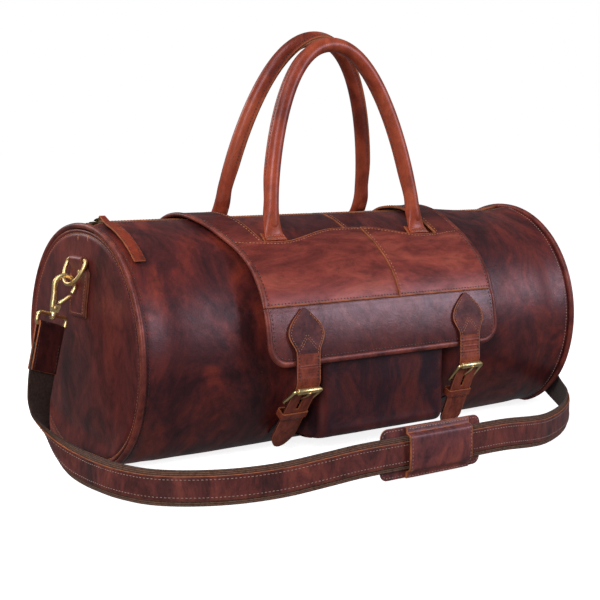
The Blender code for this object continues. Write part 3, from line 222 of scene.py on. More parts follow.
def noise_texture(tree, where, scale, detail=4.0, rough=0.6, twist=0.0):
    made = node(tree, "ShaderNodeTexNoise", {"Vector": where}, Scale=scale, Detail=detail,
                Roughness=rough, Distortion=twist)
    return made.outputs["Fac"]


def between(tree, source, low, high, to_low=0.0, to_high=1.0):
    made = node(tree, "ShaderNodeMapRange", {"Value": source}, From_Min=low, From_Max=high,
                To_Min=to_low, To_Max=to_high)
    return made.outputs["Result"]


def maths(tree, operation, first, second=None):
    links = {0: first} if second is None else {0: first, 1: second}
    return node(tree, "ShaderNodeMath", links, operation=operation).outputs[0]


def mix_colours(tree, blend, share, first, second):
    """Blends two colours; the share and the second colour are outputs or plain values."""
    made = node(tree, "ShaderNodeMix", {6: first}, data_type="RGBA", blend_type=blend)
    if isinstance(share, float):
        made.inputs[0].default_value = share
    else:
        tree.links.new(share, made.inputs[0])
    if isinstance(second, tuple):
        made.inputs[7].default_value = (*second, 1.0)
    else:
        tree.links.new(second, made.inputs[7])
    return made.outputs[2]


def painted(tree, kind):
    """What shade() puts on a piece's points."""
    return node(tree, "ShaderNodeAttribute", attribute_name=kind).outputs["Fac"]


def bump(tree, height, strength, distance, before=None):
    links = {"Height": height} if before is None else {"Height": height, "Normal": before}
    return node(tree, "ShaderNodeBump", links, Strength=strength, Distance=distance).outputs["Normal"]


def leather(name, dark, base, bright, scale, stretch=(1.0, 1.0, 1.0), shift=(0.0, 0.0, 0.0),
            gloss=(0.34, 0.50), coat=0.06, grain=0.16):
    """Waxed pull-up leather: soft clouds of colour, fine streaks, pores, creases, and paler worn edges, some
    of them a painted highlight; where deepened, partly painted shade.
    """
    material, tree, out = shader(name)
    where, plain = coordinates(tree, stretch, shift), coordinates(tree)
    clouds = noise_texture(tree, where, scale, 9.0, 0.68, 1.1)
    streaks = noise_texture(tree, where, scale * 4.5, 7.0, 0.70, 0.6)
    flecks = noise_texture(tree, plain, 420.0, 2.0)
    colour = ramp(tree, clouds, [(0.37, dark), (0.50, base), (0.65, bright)])
    colour = mix_colours(tree, "MULTIPLY", 0.8, colour,
                         ramp(tree, streaks, [(0.33, grey(0.52)), (0.50, grey(1.0)), (0.68, grey(1.30))]))
    colour = mix_colours(tree, "MULTIPLY", 0.25, colour,
                         ramp(tree, flecks, [(0.35, grey(0.75)), (0.60, grey(1.06))]))
    # Deepened where shade() puts deep: darker leather in places, and painted shade on the lower body and the
    # chape.
    colour = mix_colours(tree, "MULTIPLY", painted(tree, "deep"), colour, (0.40, 0.36, 0.40))
    # Paled towards a lighter colour: worn welts on the end panels, and a painted highlight on the pocket's
    # corners and low ridge.
    colour = mix_colours(tree, "MIX", painted(tree, "wear_and_highlight"), colour, times(bright, 1.5))
    pores = node(tree, "ShaderNodeTexVoronoi", {"Vector": plain}, Scale=950.0).outputs["Distance"]
    normal = bump(tree, noise_texture(tree, plain, 60.0, 5.0, 0.62, 0.8), 0.22, 0.0014)
    normal = bump(tree, noise_texture(tree, plain, 330.0, 3.0), grain, 0.0005, normal)
    normal = bump(tree, pores, grain, 0.0003, normal)
    sheen = between(tree, streaks, 0.3, 0.7, gloss[1], gloss[0])
    feed(tree, out, {"Base Color": colour, "Roughness": sheen, "Normal": normal}, Coat_Weight=coat,
         Coat_Roughness=0.32, Specular_IOR_Level=0.36, Specular_Tint=(1.0, 0.74, 0.84, 1.0))
    return material


def raw_edge(name, base):
    """The undyed cut edge of leather, fibrous and burnished in places."""
    material, tree, out = shader(name)
    where = coordinates(tree)
    colour = ramp(tree, noise_texture(tree, where, 90.0),
                  [(0.3, times(base, 0.45)), (0.55, base), (0.75, times(base, 1.25))])
    normal = bump(tree, noise_texture(tree, where, 900.0, 2.0), 0.4, 0.0004)
    feed(tree, out, {"Base Color": colour, "Normal": normal}, Roughness=0.68)
    return material


def metal(name, bright, worn, rough):
    """Antique brass: satin and pale on top, with a little brown patina in broad patches."""
    material, tree, out = shader(name)
    patches = noise_texture(tree, coordinates(tree), 75.0, 3.0, 0.5)
    colour = ramp(tree, patches, [(0.30, worn), (0.50, bright)])
    satin = between(tree, patches, 0.3, 0.65, rough[1], rough[0])
    feed(tree, out, {"Base Color": colour, "Roughness": satin}, Metallic=1.0)
    return material


def thread(name, base):
    material, tree, out = shader(name)
    where = coordinates(tree)
    colour = ramp(tree, noise_texture(tree, where, 260.0, 3.0), [(0.3, times(base, 0.6)), (0.6, base)])
    normal = bump(tree, noise_texture(tree, where, 2600.0, 1.0), 0.4, 0.0003)
    feed(tree, out, {"Base Color": colour, "Normal": normal}, Roughness=0.62, Sheen_Weight=0.3)
    return material


def woven(name, dark, light, across=0.0020, along=0.0012):
    """Cotton webbing: ribs along its length and picks across it, from its UV map in metres."""
    material, tree, out = shader(name)
    uv = node(tree, "ShaderNodeUVMap").outputs["UV"]
    parts = node(tree, "ShaderNodeSeparateXYZ", {"Vector": uv})

    def waves(source, pitch):
        turned = node(tree, "ShaderNodeMath", {0: source}, operation="MULTIPLY")
        turned.inputs[1].default_value = 2 * pi / pitch
        return maths(tree, "SINE", turned.outputs[0])

    ribs, picks = waves(parts.outputs["X"], across), waves(parts.outputs["Y"], along)
    height = maths(tree, "ADD", ribs, maths(tree, "MULTIPLY", ribs, picks))
    level = between(tree, height, -2.0, 2.0)
    fuzz = noise_texture(tree, coordinates(tree), 320.0)
    colour = ramp(tree, maths(tree, "MULTIPLY", level, fuzz), [(0.08, dark), (0.45, light)])
    feed(tree, out, {"Base Color": colour, "Normal": bump(tree, level, 0.7, 0.0008)},
         Roughness=0.92, Specular_IOR_Level=0.12, Sheen_Weight=0.06)
    return material


BODY = leather("leather_body", (0.037, 0.010, 0.011), (0.092, 0.017, 0.016), (0.205, 0.032, 0.019), 11.0,
               (1.2, 0.9, 0.9))
END = leather("leather_end", (0.058, 0.013, 0.012), (0.110, 0.021, 0.018), (0.175, 0.034, 0.024), 11.0,
              (1.0, 1.4, 0.8), (3.1, 0.4, 1.7))
FLAP = leather("leather_flap", (0.052, 0.013, 0.013), (0.096, 0.021, 0.019), (0.160, 0.032, 0.022), 12.0,
               (1.2, 0.9, 0.9), (1.3, 5.0, 2.2), (0.26, 0.38), 0.1)
POCKET = leather("leather_pocket", (0.015, 0.006, 0.009), (0.028, 0.008, 0.011), (0.100, 0.018, 0.014), 15.0,
                 (1.1, 0.9, 0.9), (7.0, 2.0, 4.0), (0.36, 0.52))
SADDLE = leather("leather_saddle", (0.132, 0.023, 0.017), (0.238, 0.042, 0.030), (0.345, 0.074, 0.046), 12.0,
                 (0.6, 1.6, 1.6), (0.6, 0.2, 3.0), (0.36, 0.50))
STRIP = leather("leather_strap", (0.120, 0.023, 0.014), (0.225, 0.044, 0.022), (0.320, 0.074, 0.034), 22.0,
                (1.6, 0.9, 0.9), (5.0, 1.0, 0.3), (0.44, 0.58), 0.0)
SPADE = leather("leather_spade", (0.036, 0.008, 0.007), (0.076, 0.014, 0.011), (0.145, 0.027, 0.016), 24.0,
                (1.0, 1.0, 1.0), (2.0, 8.0, 0.7), (0.46, 0.60), 0.0)
HANDLE = leather("leather_handle", (0.182, 0.030, 0.015), (0.338, 0.058, 0.025), (0.452, 0.098, 0.043), 9.0,
                 (1.0, 1.0, 0.6), (0.0, 3.0, 0.0), (0.30, 0.42), 0.05, 0.05)
TRIM = leather("leather_trim", (0.095, 0.019, 0.014), (0.175, 0.036, 0.025), (0.265, 0.064, 0.038), 16.0,
               (1.0, 1.0, 1.0), (1.0, 2.0, 5.0), (0.36, 0.48))
PULL = leather("leather_pull", (0.155, 0.023, 0.010), (0.240, 0.034, 0.013), (0.310, 0.052, 0.020), 20.0,
               (1.0, 1.0, 1.0), (4.0, 4.0, 1.0), (0.44, 0.56), 0.0)
OVERLAY = leather("leather_overlay", (0.052, 0.017, 0.016), (0.125, 0.031, 0.026), (0.220, 0.052, 0.036),
                  17.0, (1.5, 1.5, 0.6), (9.0, 2.0, 3.0), (0.38, 0.54), 0.05)
PAD = leather("leather_pad", (0.060, 0.021, 0.024), (0.165, 0.043, 0.041), (0.255, 0.062, 0.047), 19.0,
              (1.4, 1.0, 0.7), (3.0, 6.0, 2.0), (0.36, 0.50))
EDGE = raw_edge("leather_edge", (0.37, 0.105, 0.034))
DARK_EDGE = raw_edge("leather_edge_dark", (0.18, 0.045, 0.020))
BRASS = metal("brass_antique", (0.93, 0.68, 0.33), (0.60, 0.40, 0.17), (0.32, 0.44))
GOLD = metal("brass_buckle", (0.92, 0.70, 0.34), (0.60, 0.42, 0.17), (0.28, 0.40))
ZIP_METAL = metal("brass_zip", (0.30, 0.22, 0.115), (0.085, 0.055, 0.030), (0.25, 0.45))
WEBBING = woven("webbing_cotton", (0.044, 0.019, 0.013), (0.255, 0.132, 0.090))
# Painted shade: a darker copy of the webbing for its back face and cut edges, which stand in shade.
WEBBING_BACK_SHADED = woven("webbing_cotton_back_shaded", (0.020, 0.010, 0.008), (0.105, 0.058, 0.044))
TAPE = woven("zip_tape_cloth", (0.020, 0.012, 0.010), (0.075, 0.045, 0.032), 0.0016, 0.0009)
CLOTH = woven("lining_cotton", (0.150, 0.110, 0.070), (0.330, 0.250, 0.165), 0.0012, 0.0012)
TAN_THREAD = thread("thread_tan", (0.50, 0.155, 0.048))
CREAM_THREAD = thread("thread_cream", (0.40, 0.245, 0.185))
BROWN_THREAD = thread("thread_brown", (0.040, 0.015, 0.011))


# Forms

def spread(low, high, count):
    return [low + (high - low) * i / count for i in range(count + 1)]


def grid(first, second, point):
    """Rows of points, one row for each value of the first list."""
    return [[point(a, b) for b in second] for a in first]


def ease(value, low, high):
    share = min(max((value - low) / (high - low), 0.0), 1.0)
    return share * share * (3 - 2 * share)


def hump(value, middle, width):
    return exp(-((value - middle) / width) ** 2)


def soft_noise(x, y, z=0.0):
    """Smooth noise from 0 to 1."""
    return 0.5 + 0.5 * noise.noise(Vector((x, y, z)))


def polar(radius, angle):
    return radius * cos(angle), radius * sin(angle)


def piece(name, points, faces, materials, body, slot, replaced=(), which=None, sharp=None):
    """One mesh piece that rides on a body and stands for some CAD nodes."""
    mesh = bpy.data.meshes.new(name)
    mesh.from_pydata([tuple(p) for p in points], [], faces)
    for material in materials:
        mesh.materials.append(material)
    if which:
        mesh.polygons.foreach_set("material_index", which)
    work = bmesh.new()
    work.from_mesh(mesh)
    bmesh.ops.delete(work, geom=[v for v in work.verts if not v.link_faces], context="VERTS")
    work.to_mesh(mesh)
    work.free()
    mesh.shade_smooth()
    if sharp:
        mesh.set_sharp_from_angle(angle=radians(sharp))
    obj = bpy.data.objects.new(name, mesh)
    scene.collection.objects.link(obj)
    if body:
        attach(obj, body)
    if replaced:
        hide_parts(*replaced)
    return obj


def shade(obj, kind, amounts):
    """How worn or how deep in colour the leather is, from 0 to 1: at each point, or all over. Some of the
    paling is a painted highlight and some of the deepening is painted shade.
    """
    if isinstance(amounts, float):
        amounts = [amounts] * len(obj.data.vertices)
    layer = obj.data.attributes.new(kind, "FLOAT", "POINT")
    layer.data.foreach_set("value", amounts)


def face_away(obj, centre):
    """Turns the faces so that most of them look away from a point."""
    mesh = obj.data
    total = sum((p.center - Vector(centre)).dot(p.normal) * p.area for p in mesh.polygons)
    if total < 0:
        mesh.flip_normals()


def soften(obj, width, angle=40.0, material=-1):
    change = obj.modifiers.new("soft_edges", "BEVEL")
    change.material = material
    change.width = width
    change.segments = 2
    change.limit_method = "ANGLE"
    change.angle_limit = radians(angle)


def thicken(obj, thick, bevel=BEVEL, offset=-1.0, back=0):
    """Gives a sheet its thickness inwards, with the second material on its cut edge."""
    change = obj.modifiers.new("thickness", "SOLIDIFY")
    change.thickness = thick
    change.offset = offset
    change.material_offset = back
    change.material_offset_rim = 1
    if bevel:
        soften(obj, bevel, material=1)


def sheet(name, rows, materials, body, slot, replaced=(), thick=LEATHER, bevel=BEVEL, active=None,
          closed=False, centre=INSIDE, offset=-1.0, paint=None):
    """A leather sheet through rows of points; active(i, j) keeps a face, paint(i, j) picks its material."""
    count = len(rows[0])
    faces, which = [], []
    for i in range(len(rows) - 1):
        for j in range(count if closed else count - 1):
            if active and not active(i, j):
                continue
            n = (j + 1) % count
            faces.append([i * count + j, (i + 1) * count + j, (i + 1) * count + n, i * count + n])
            which.append(paint(i, j) if paint else 0)
    obj = piece(name, [p for row in rows for p in row], faces, materials, body, slot, replaced, which)
    face_away(obj, centre)
    if thick:
        thicken(obj, thick, bevel, offset)
    return obj


def square_to(way, along):
    """A direction turned square to another one."""
    return (way - along * way.dot(along)).normalized()


def frames(path, closed=False):
    """A tangent, a side and an up direction at each point of a path, turning as little as possible."""
    count = len(path)
    side = None
    result = []
    for i in range(count):
        before = path[i - 1] if closed or i else path[i]
        after = path[(i + 1) % count] if closed or i < count - 1 else path[i]
        along = (Vector(after) - Vector(before)).normalized()
        if side is None:
            side = along.orthogonal()
        side = square_to(side, along)
        result.append((along, side, along.cross(side)))
    return result


def spline(points, steps):
    """A smooth path through points, each place with its count along the points."""
    result = []
    last = len(points) - 1
    for i in range(last):
        a, b = points[max(i - 1, 0)], points[i]
        c, d = points[i + 1], points[min(i + 2, last)]
        for k in range(steps):
            u = k / steps
            bend = (a * 2 - b * 5 + c * 4 - d) * u * u + (b * 3 - a - c * 3 + d) * u ** 3
            result.append((b + ((c - a) * u + bend) / 2, i + u))
    return result + [(points[-1], float(last))]


def loft(rings, closed=False, caps=True):
    """The points and faces of a body through rings, capped at both ends or joined end to end."""
    count = len(rings[0])
    points = [p for ring in rings for p in ring]
    faces = []
    for i in range(len(rings) if closed else len(rings) - 1):
        a, b = i * count, (i + 1) % len(rings) * count
        for k in range(count):
            n = (k + 1) % count
            faces.append([a + k, a + n, b + n, b + k])
    if caps and not closed:
        faces.append(list(range(count))[::-1])
        faces.append(list(range(len(points) - count, len(points))))
    return points, faces


def tube(path, radius, sides, closed=False):
    """The points and faces of a rod along a path; its radius may vary."""
    radii = radius if isinstance(radius, list) else [radius] * len(path)
    rings = []
    for point, (_, across, up), size in zip(path, frames(path, closed), radii):
        turns = [2 * pi * k / sides for k in range(sides)]
        rings.append([Vector(point) + across * size * cos(a) + up * size * sin(a) for a in turns])
    return loft(rings, closed)


def prism(outline, low, high, place):
    return loft([[place(u, v, w) for u, v in outline] for w in (low, high)])


def join(*shapes):
    """Several shapes' points and faces as one."""
    points, faces = [], []
    for more, sides in shapes:
        start = len(points)
        points += more
        faces += [[start + k for k in face] for face in sides]
    return points, faces


def fix_normals(obj):
    work = bmesh.new()
    work.from_mesh(obj.data)
    bmesh.ops.recalc_face_normals(work, faces=work.faces)
    work.to_mesh(obj.data)
    work.free()
    return obj


def hard(name, shape, material, body, slot, replaced=(), bevel=0.0, sharp=40.0):
    """A rigid piece from points and faces."""
    obj = fix_normals(piece(name, shape[0], shape[1], [material], body, slot, replaced, None, sharp))
    if bevel:
        soften(obj, bevel, 30.0)
    return obj


def rounded(width, height, radius, steps=6):
    """The outline of a rectangle with round corners."""
    result = []
    for k, (sx, sy) in enumerate([(1, 1), (-1, 1), (-1, -1), (1, -1)]):
        for i in range(steps + 1):
            u, v = polar(radius, pi / 2 * (k + i / steps))
            result.append((sx * (width / 2 - radius) + u, sy * (height / 2 - radius) + v))
    return result


def flat_map(obj, columns, wide, long):
    """A UV map in metres for a grid of rows along its length."""
    mesh = obj.data
    layer = mesh.uv_layers.new(name="flat")
    rows = len(mesh.vertices) // columns
    for corner in mesh.loops:
        i, j = divmod(corner.vertex_index, columns)
        layer.data[corner.index].uv = (wide * j / (columns - 1), long * i / (rows - 1))


def resampled(path, pitch):
    """Evenly spaced points along a path, each with its direction."""
    result = []
    left = pitch / 2
    for a, b in zip(path, path[1:]):
        a, b = Vector(a), Vector(b)
        length = (b - a).length
        while left < length:
            result.append((a + (b - a) * left / length, (b - a) / length))
            left += pitch
        left -= length
    return result


SEWN = {}


def sew(body, material, path, outward, kind="body"):
    """Adds a row of stitches along a path; outward is the way off the leather, or gives it at a point."""
    pitch, size, radius = STITCH[kind]
    points, faces = SEWN.setdefault((body, material), ([], []))
    for middle, along in resampled(path, pitch):
        out = square_to(outward(middle) if callable(outward) else outward, along)
        across = along.cross(out)
        start = len(points)
        points.append(middle - along * size / 2 - out * radius)
        for share, thick in ((-0.34, 0.8), (0.0, 1.0), (0.34, 0.8)):
            for k in range(6):
                a = pi / 3 * k
                rise = radius * (0.25 + thick - 1.0 + 0.9 * thick * sin(a))
                points.append(middle + along * size * share + across * radius * thick * cos(a) + out * rise)
        points.append(middle + along * size / 2 - out * radius)
        last = len(points) - 1
        for k in range(6):
            n = (k + 1) % 6
            faces.append([start, start + 1 + n, start + 1 + k])
            for ring in (0, 6):
                a = start + 1 + ring
                faces.append([a + k, a + n, a + 6 + n, a + 6 + k])
            faces.append([last, start + 13 + k, start + 13 + n])


def from_axis(point):
    """Off the body's round skin."""
    return Vector((0.0, point.y, point.z - WAIST))


def like_nearest(track, outs):
    """The outward direction of the nearest point of a track."""
    return lambda point: outs[min(range(len(track)), key=lambda k: (track[k] - point).length_squared)]


# The body's section, as in the CAD model: degrees from the top, positive to the front

HALF_WIDTH, HALF_BASE, ARCH = WIDTH / 2, BASE_WIDTH / 2, HEIGHT - WAIST
PANEL_END = LENGTH / 2 - 2 * PIPING_RADIUS - GAP
UNDER_RIM = PANEL_END + 1.4 * PIPING_RADIUS
SLOT_ANGLE = degrees(asin(ZIP_SLOT / WIDTH))
END_FACE = LENGTH / 2 - PIPING_RADIUS + LEATHER / 2
END_CENTRE = HEIGHT / 2

# How far the soft leather departs from it
LEFT_SAG, RIGHT_SAG, RIM_SAG, RIM_TUCK = 0.0052, 0.0042, 0.0014, 0.0022
HOLLOW, DIMPLE, BELLY, RIM_GROOVE, RIM_HOLLOW, LAP_SINK = 0.0030, 0.0011, 0.0042, 0.0016, 0.0012, 0.0016
WELT, WELT_WIDTH, WELT_GROOVE = 0.0008, 0.0042, 0.0016
END_HOLLOW, END_DIMPLE, END_FOLD = 0.0022, 0.0010, 0.0030
TACK_Z, TACK_LENGTH, TACK_PLACES = 0.2585, 0.007, (0.0044, -0.0196)
RIM_SEAM, MIDDLE_SEAM, SEAM_NUDGE = 0.0045, 0.0038, 0.0002
LINING_DEPTH, LINING_FOLD, LINING_GIRTH, LINING_END, LINING_THICK = 0.0095, 0.0025, 0.86, 0.004, 0.001


def skin(angle, out=0.0):
    front = -1.0 if angle >= 0 else 1.0
    turn = radians(abs(angle))
    if abs(angle) <= 90.0:
        across, rise, start = HALF_WIDTH, ARCH, 0.0
    else:
        across, rise, start = HALF_WIDTH - HALF_BASE, WAIST, HALF_BASE
    ny, nz = sin(turn) / across, cos(turn) / rise
    size = hypot(ny, nz)
    return front * (start + across * sin(turn) + out * ny / size), WAIST + rise * cos(turn) + out * nz / size


def body_front(z):
    """The y of the body's front at a height."""
    if z >= WAIST:
        return -HALF_WIDTH * sqrt(max(0.0, 1.0 - ((z - WAIST) / ARCH) ** 2))
    return -(HALF_BASE + (HALF_WIDTH - HALF_BASE) * sqrt(max(0.0, 1.0 - ((WAIST - z) / WAIST) ** 2)))


def sag(x, angle):
    """How far the top has sunk: at the left rim, and ahead of the right one."""
    left = LEFT_SAG * ease(-x, 0.316, 0.342)
    right = RIGHT_SAG * ease(x, 0.19, 0.27) * ease(0.340 - x, 0.0, 0.045) + RIM_SAG * ease(x, 0.336, 0.342)
    return (left + right) * hump(angle, 0.0, 30.0)


def on_skin(x, angle, out=0.0):
    y, z = skin(angle, out)
    return Vector((x, y, z - sag(x, angle)))


def rim_loop(sign, out, floor):
    """The body's outline at one end, tucked in a little at the bottom."""
    loop = []
    for a in spread(0.0, 180.0, 48) + spread(-180.0, 0.0, 48)[1:-1]:
        y, z = skin(a, out - RIM_TUCK * ease(abs(a), 118.0, 150.0))
        loop.append(Vector((y, max(z - sag(sign * LENGTH / 2, a), floor))))
    return loop


def dent(x, angle):
    """How far the leather stands out: soft hollows, a groove by the rims, and the belly settled outwards."""
    arc = radians(angle) * HALF_WIDTH
    rim = PANEL_END - abs(x)
    hollow = HOLLOW * soft_noise(x * 7.0, arc * 5.0, 3.0) + DIMPLE * soft_noise(x * 19.0, arc * 12.0, 8.0)
    hollow *= ease(rim, 0.0, 0.014)
    groove = RIM_GROOVE * hump(rim, 0.0, 0.005) + RIM_HOLLOW * hump(rim, 0.030, 0.016)
    belly = BELLY * hump(abs(angle), 152.0, 15.0) * ease(rim, 0.0, 0.025)
    calm = ease(abs(angle), SLOT_ANGLE, 22.0) * ease(180.0 - abs(angle), 0.0, 14.0)
    return (belly - hollow - groove) * calm


def make_panels():
    places = spread(GAP / 2, PANEL_END, 64) + [UNDER_RIM]
    angles = [SLOT_ANGLE] + spread(SLOT_ANGLE + 0.8, 180.0, 84)
    for side, sign in SIDES:
        for face, turn in FACES:

            def point(x, a):
                lapped = LAP_SINK * hump(x, 0.0, 0.004) if sign < 0 else 0.0
                lapped *= ease(a, SLOT_ANGLE, 8.0) * ease(180.0 - a, 0.0, 10.0)
                return on_skin(sign * x, turn * a, dent(sign * x, turn * a) - lapped)

            def seam(x, thread_used, nudge=0.0):
                track = [on_skin(x, turn * a, dent(x + nudge, turn * a))
                         for a in spread(SLOT_ANGLE + 4, 172.0, 90)]
                sew("bag", thread_used, track, from_axis)

            obj = sheet("skin_%s_%s" % (face, side), grid(places, angles, point), [BODY, EDGE], "bag",
                        "body_leather", ["%s_panel_%s" % (face, side)], paint=lambda i, j: 1 if j == 0 else 0)
            # Painted shade: the body is deepened from just below the waist down, strongly on the right and a
            # little on the left.
            low = 0.5 if sign > 0 else 0.15
            shade(obj, "deep", [low * ease(a, 95.0, 130.0) for a in angles] * len(places))
            seam(sign * (PANEL_END - RIM_SEAM), BROWN_THREAD if sign < 0 else CREAM_THREAD)
            if sign > 0:
                seam(MIDDLE_SEAM, TAN_THREAD, SEAM_NUDGE)
            beside_zip = [on_skin(sign * x, turn * (SLOT_ANGLE + 2.0))
                          for x in spread(0.004, PANEL_END - 0.01, 60)]
            sew("bag", BROWN_THREAD, beside_zip, from_axis)
    half = HALF_BASE - GAP
    rows = grid(spread(-UNDER_RIM, UNDER_RIM, 60), spread(-half, half, 8),
                lambda x, y: Vector((x, y, 0.0003 * soft_noise(x * 9.0, y * 30.0))))
    sheet("base_leather", rows, [BODY, EDGE], "bag", "body_leather", ["base_panel"])


def end_face(y, z, out=0.0):
    reach = (y / HALF_WIDTH) ** 2 + ((z - END_CENTRE) / END_CENTRE) ** 2
    return END_FACE + END_BULGE * max(0.0, 1.0 - reach) + out


def end_relief(inset, y, z):
    """The end panel's welt, its sewn groove, and soft hollows further in."""
    welt = WELT * sin(pi * min(inset / WELT_WIDTH, 1.0)) - WELT_GROOVE * hump(inset, WELT_WIDTH, 0.0016)
    hollow = END_HOLLOW * soft_noise(y * 11.0, z * 9.0, 6.0)
    hollow += END_DIMPLE * soft_noise(y * 26.0, z * 22.0, 2.0)
    hollow *= ease(inset, WELT_WIDTH, 0.035)
    fold = END_FOLD * hump(z, 0.034 + 0.16 * y, 0.010) * ease(inset, 0.008, 0.020)
    return welt - (hollow + fold) * ease(hypot(y - RING_Y, z - 0.205) - 0.03, 0.0, 0.04)


def make_ends():
    centre = Vector((0.0, END_CENTRE))
    shares = [1.0, 0.994, 0.987, 0.981, 0.976, 0.972, 0.968, 0.963, 0.957, 0.949, 0.935, 0.91]
    shares += spread(0.88, 0.04, 21)
    for side, sign in SIDES:
        outward = Vector((sign, 0.0, 0.0))
        edge = rim_loop(sign, PIPING_PROUD - PIPING_RADIUS - 2 * GAP, 2 * PIPING_RADIUS + 3 * GAP)

        def on_end(flat, inset):
            return Vector((sign * end_face(*flat, end_relief(inset, *flat)), *flat))

        rings, worn = [], []
        for share in shares:
            ring = []
            for place in edge:
                flat = centre + (place - centre) * share
                inset = (1.0 - share) * (place - centre).length
                ring.append(on_end(flat, inset))
                far = ease(flat.y, 0.06, 0.14) * ease(flat.x, 0.0, 0.06)
                worn.append(0.8 * hump(inset, WELT_WIDTH, 0.0026) * far)
            rings.append(ring)
        points, faces = loft(rings, caps=False)
        count, middle = len(edge), len(points)
        points.append(on_end(centre, END_CENTRE))
        faces += [[middle - count + k, middle - count + (k + 1) % count, middle] for k in range(count)]
        obj = piece("end_leather_" + side, points, faces, [END, EDGE], "bag", "body_leather",
                    ["end_panel_" + side])
        shade(obj, "wear_and_highlight", worn + [0.0])
        face_away(obj, INSIDE)
        thicken(obj, LEATHER)

        track = []
        for place in edge + edge[:1]:
            inwards = 1.0 - WELT_WIDTH / (place - centre).length
            track.append(on_end(centre + (place - centre) * inwards, WELT_WIDTH))
        sew("bag", TAN_THREAD, track, outward, "end")
        for y in TACK_PLACES:
            out = end_relief(0.02, y, TACK_Z)
            tack = [Vector((sign * end_face(y, z, out), y, z)) for z in (TACK_Z, TACK_Z + TACK_LENGTH)]
            sew("bag", TAN_THREAD, tack, outward, "tack")
        x = sign * (LENGTH / 2 - PIPING_RADIUS)
        path = [Vector((x, *p)) for p in rim_loop(sign, PIPING_PROUD, PIPING_RADIUS + GAP)]
        hard("rim_piping_" + side, tube(path, PIPING_RADIUS, 14, True), TRIM, "bag", "saddle_leather",
             ["piping_" + side])


# Zip

TAPE_TOP = -LEATHER - GAP
TEETH_Z = HEIGHT + TAPE_TOP - 0.0004
CROWN_Z = TEETH_Z + TEETH_THICK / 2 + GAP + SLIDER_PLATE + SLIDER_CROWN
TOOTH_PITCH, TOOTH_NECK = 0.0030, TEETH_WIDTH * 0.55
TOOTH = [(-0.0008, 0.0), (0.0008, 0.0), (0.0011, TOOTH_NECK), (0.0006, TEETH_WIDTH), (-0.0006, TEETH_WIDTH),
         (-0.0011, TOOTH_NECK)]
TAPE_WIDTH, TAPE_THICK, TAPE_COLUMNS, TAPE_END_RISE, PULLER_SEAM = 0.012, 0.0008, 6, 0.0020, 0.0022


def make_zip():
    half = ZIP_LENGTH / 2
    start = degrees(asin((TEETH_PART / 2 + TEETH_WIDTH) / HALF_WIDTH))
    ends = [half + 0.001, PANEL_END, UNDER_RIM]
    for side, turn in FACES:
        rows = []
        for x in [-x for x in reversed(ends)] + spread(-half, half, 90) + ends:
            inner = start if abs(x) <= half else 0.1
            top = TAPE_TOP + (TAPE_END_RISE if abs(x) > PANEL_END else 0.0)
            rows.append([on_skin(x, turn * a, top) for a in spread(inner, SLOT_ANGLE + 3.5, TAPE_COLUMNS)])
        tape = sheet("zip_cloth_" + side, rows, [TAPE, TAPE], "bag", "webbing", ["zip_tape_" + side],
                     TAPE_THICK, 0.0)
        flat_map(tape, TAPE_COLUMNS + 1, TAPE_WIDTH, ZIP_LENGTH)
        shapes = []
        for k in range(int(ZIP_LENGTH / TOOTH_PITCH)):
            x = -half + TOOTH_PITCH / 2 + k * TOOTH_PITCH + (TOOTH_PITCH / 2 if turn < 0 else 0.0)

            def place(u, v, w):
                return Vector((x + u, -turn * (TEETH_PART / 2 + TEETH_WIDTH - v), TEETH_Z + w - sag(x, 0.0)))

            shapes.append(prism(TOOTH, -TEETH_THICK / 2, TEETH_THICK / 2, place))
        hard("zip_row_" + side, join(*shapes), ZIP_METAL, "bag", "zip_metal", ["zip_teeth_" + side],
             sharp=30.0)


def make_slider():
    for name, bevel in (("zip_slider", FINE_BEVEL), ("zip_link", 0.0)):
        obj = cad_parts[name]
        obj.data.materials.clear()
        obj.data.materials.append(ZIP_METAL)
        if bevel:
            soften(obj, bevel)
    link_z = HEIGHT + LINK_WIRE + PULLER_THICK + 4 * GAP
    link_y = -sqrt(LINK_LENGTH ** 2 - (link_z - CROWN_Z) ** 2)
    fold = LINK_WIRE + GAP + PULLER_THICK / 2
    path = []
    for a in spread(-80.0, 150.0, 16):
        u, v = polar(fold, radians(a))
        path.append((link_y + u, link_z + v))
    folded = len(path)
    first = degrees(asin((PULLER_FOLD - link_y) / HALF_WIDTH))
    last = first + degrees((PULLER_LENGTH - PULLER_FOLD) / HALF_WIDTH)
    path += [skin(a, 4 * GAP + PULLER_THICK / 2) for a in spread(first, last, 34)]
    rows = []
    for i, (y, z) in enumerate(path):
        half = PULLER_NECK / 2 + (PULLER_WIDTH - PULLER_NECK) / 2 * ease(i, folded - 2, folded + 6)
        rows.append([Vector((SLIDER_X + half * s, y, z)) for s in spread(-1.0, 1.0, 8)])
    tab = sheet("zip_tab", rows, [PULL, EDGE], "puller", "handle_leather", ["zip_puller"], PULLER_THICK,
                FINE_BEVEL, centre=(SLIDER_X, 0.0, 0.14), offset=0.0)
    if tab.data.polygons[-1].normal.y > 0:
        tab.data.flip_normals()
    for s in (-1.0, 1.0):
        track = [Vector((SLIDER_X + s * (PULLER_WIDTH / 2 - PULLER_SEAM), *skin(a, 4 * GAP + PULLER_THICK)))
                 for a in spread(first + 3.0, last - 1.5, 24)]
        sew("puller", BROWN_THREAD, track, from_axis, "puller")


def make_lining():
    columns = 90

    def point(x, a):
        inside = -LINING_DEPTH - LINING_FOLD * soft_noise(x * 12.0, a * 0.06)
        return on_skin(x, a if a <= 180.0 else a - 360.0, inside)

    end = PANEL_END - LINING_END
    rows = grid(spread(-end, end, 50), spread(12.0, 348.0, columns), point)
    cloth = sheet("lining_cloth_inside", rows, [CLOTH, CLOTH], "bag", "lining_cloth", ["lining"],
                  LINING_THICK, 0.0)
    flat_map(cloth, columns + 1, LINING_GIRTH, LENGTH)


# Saddle and flap

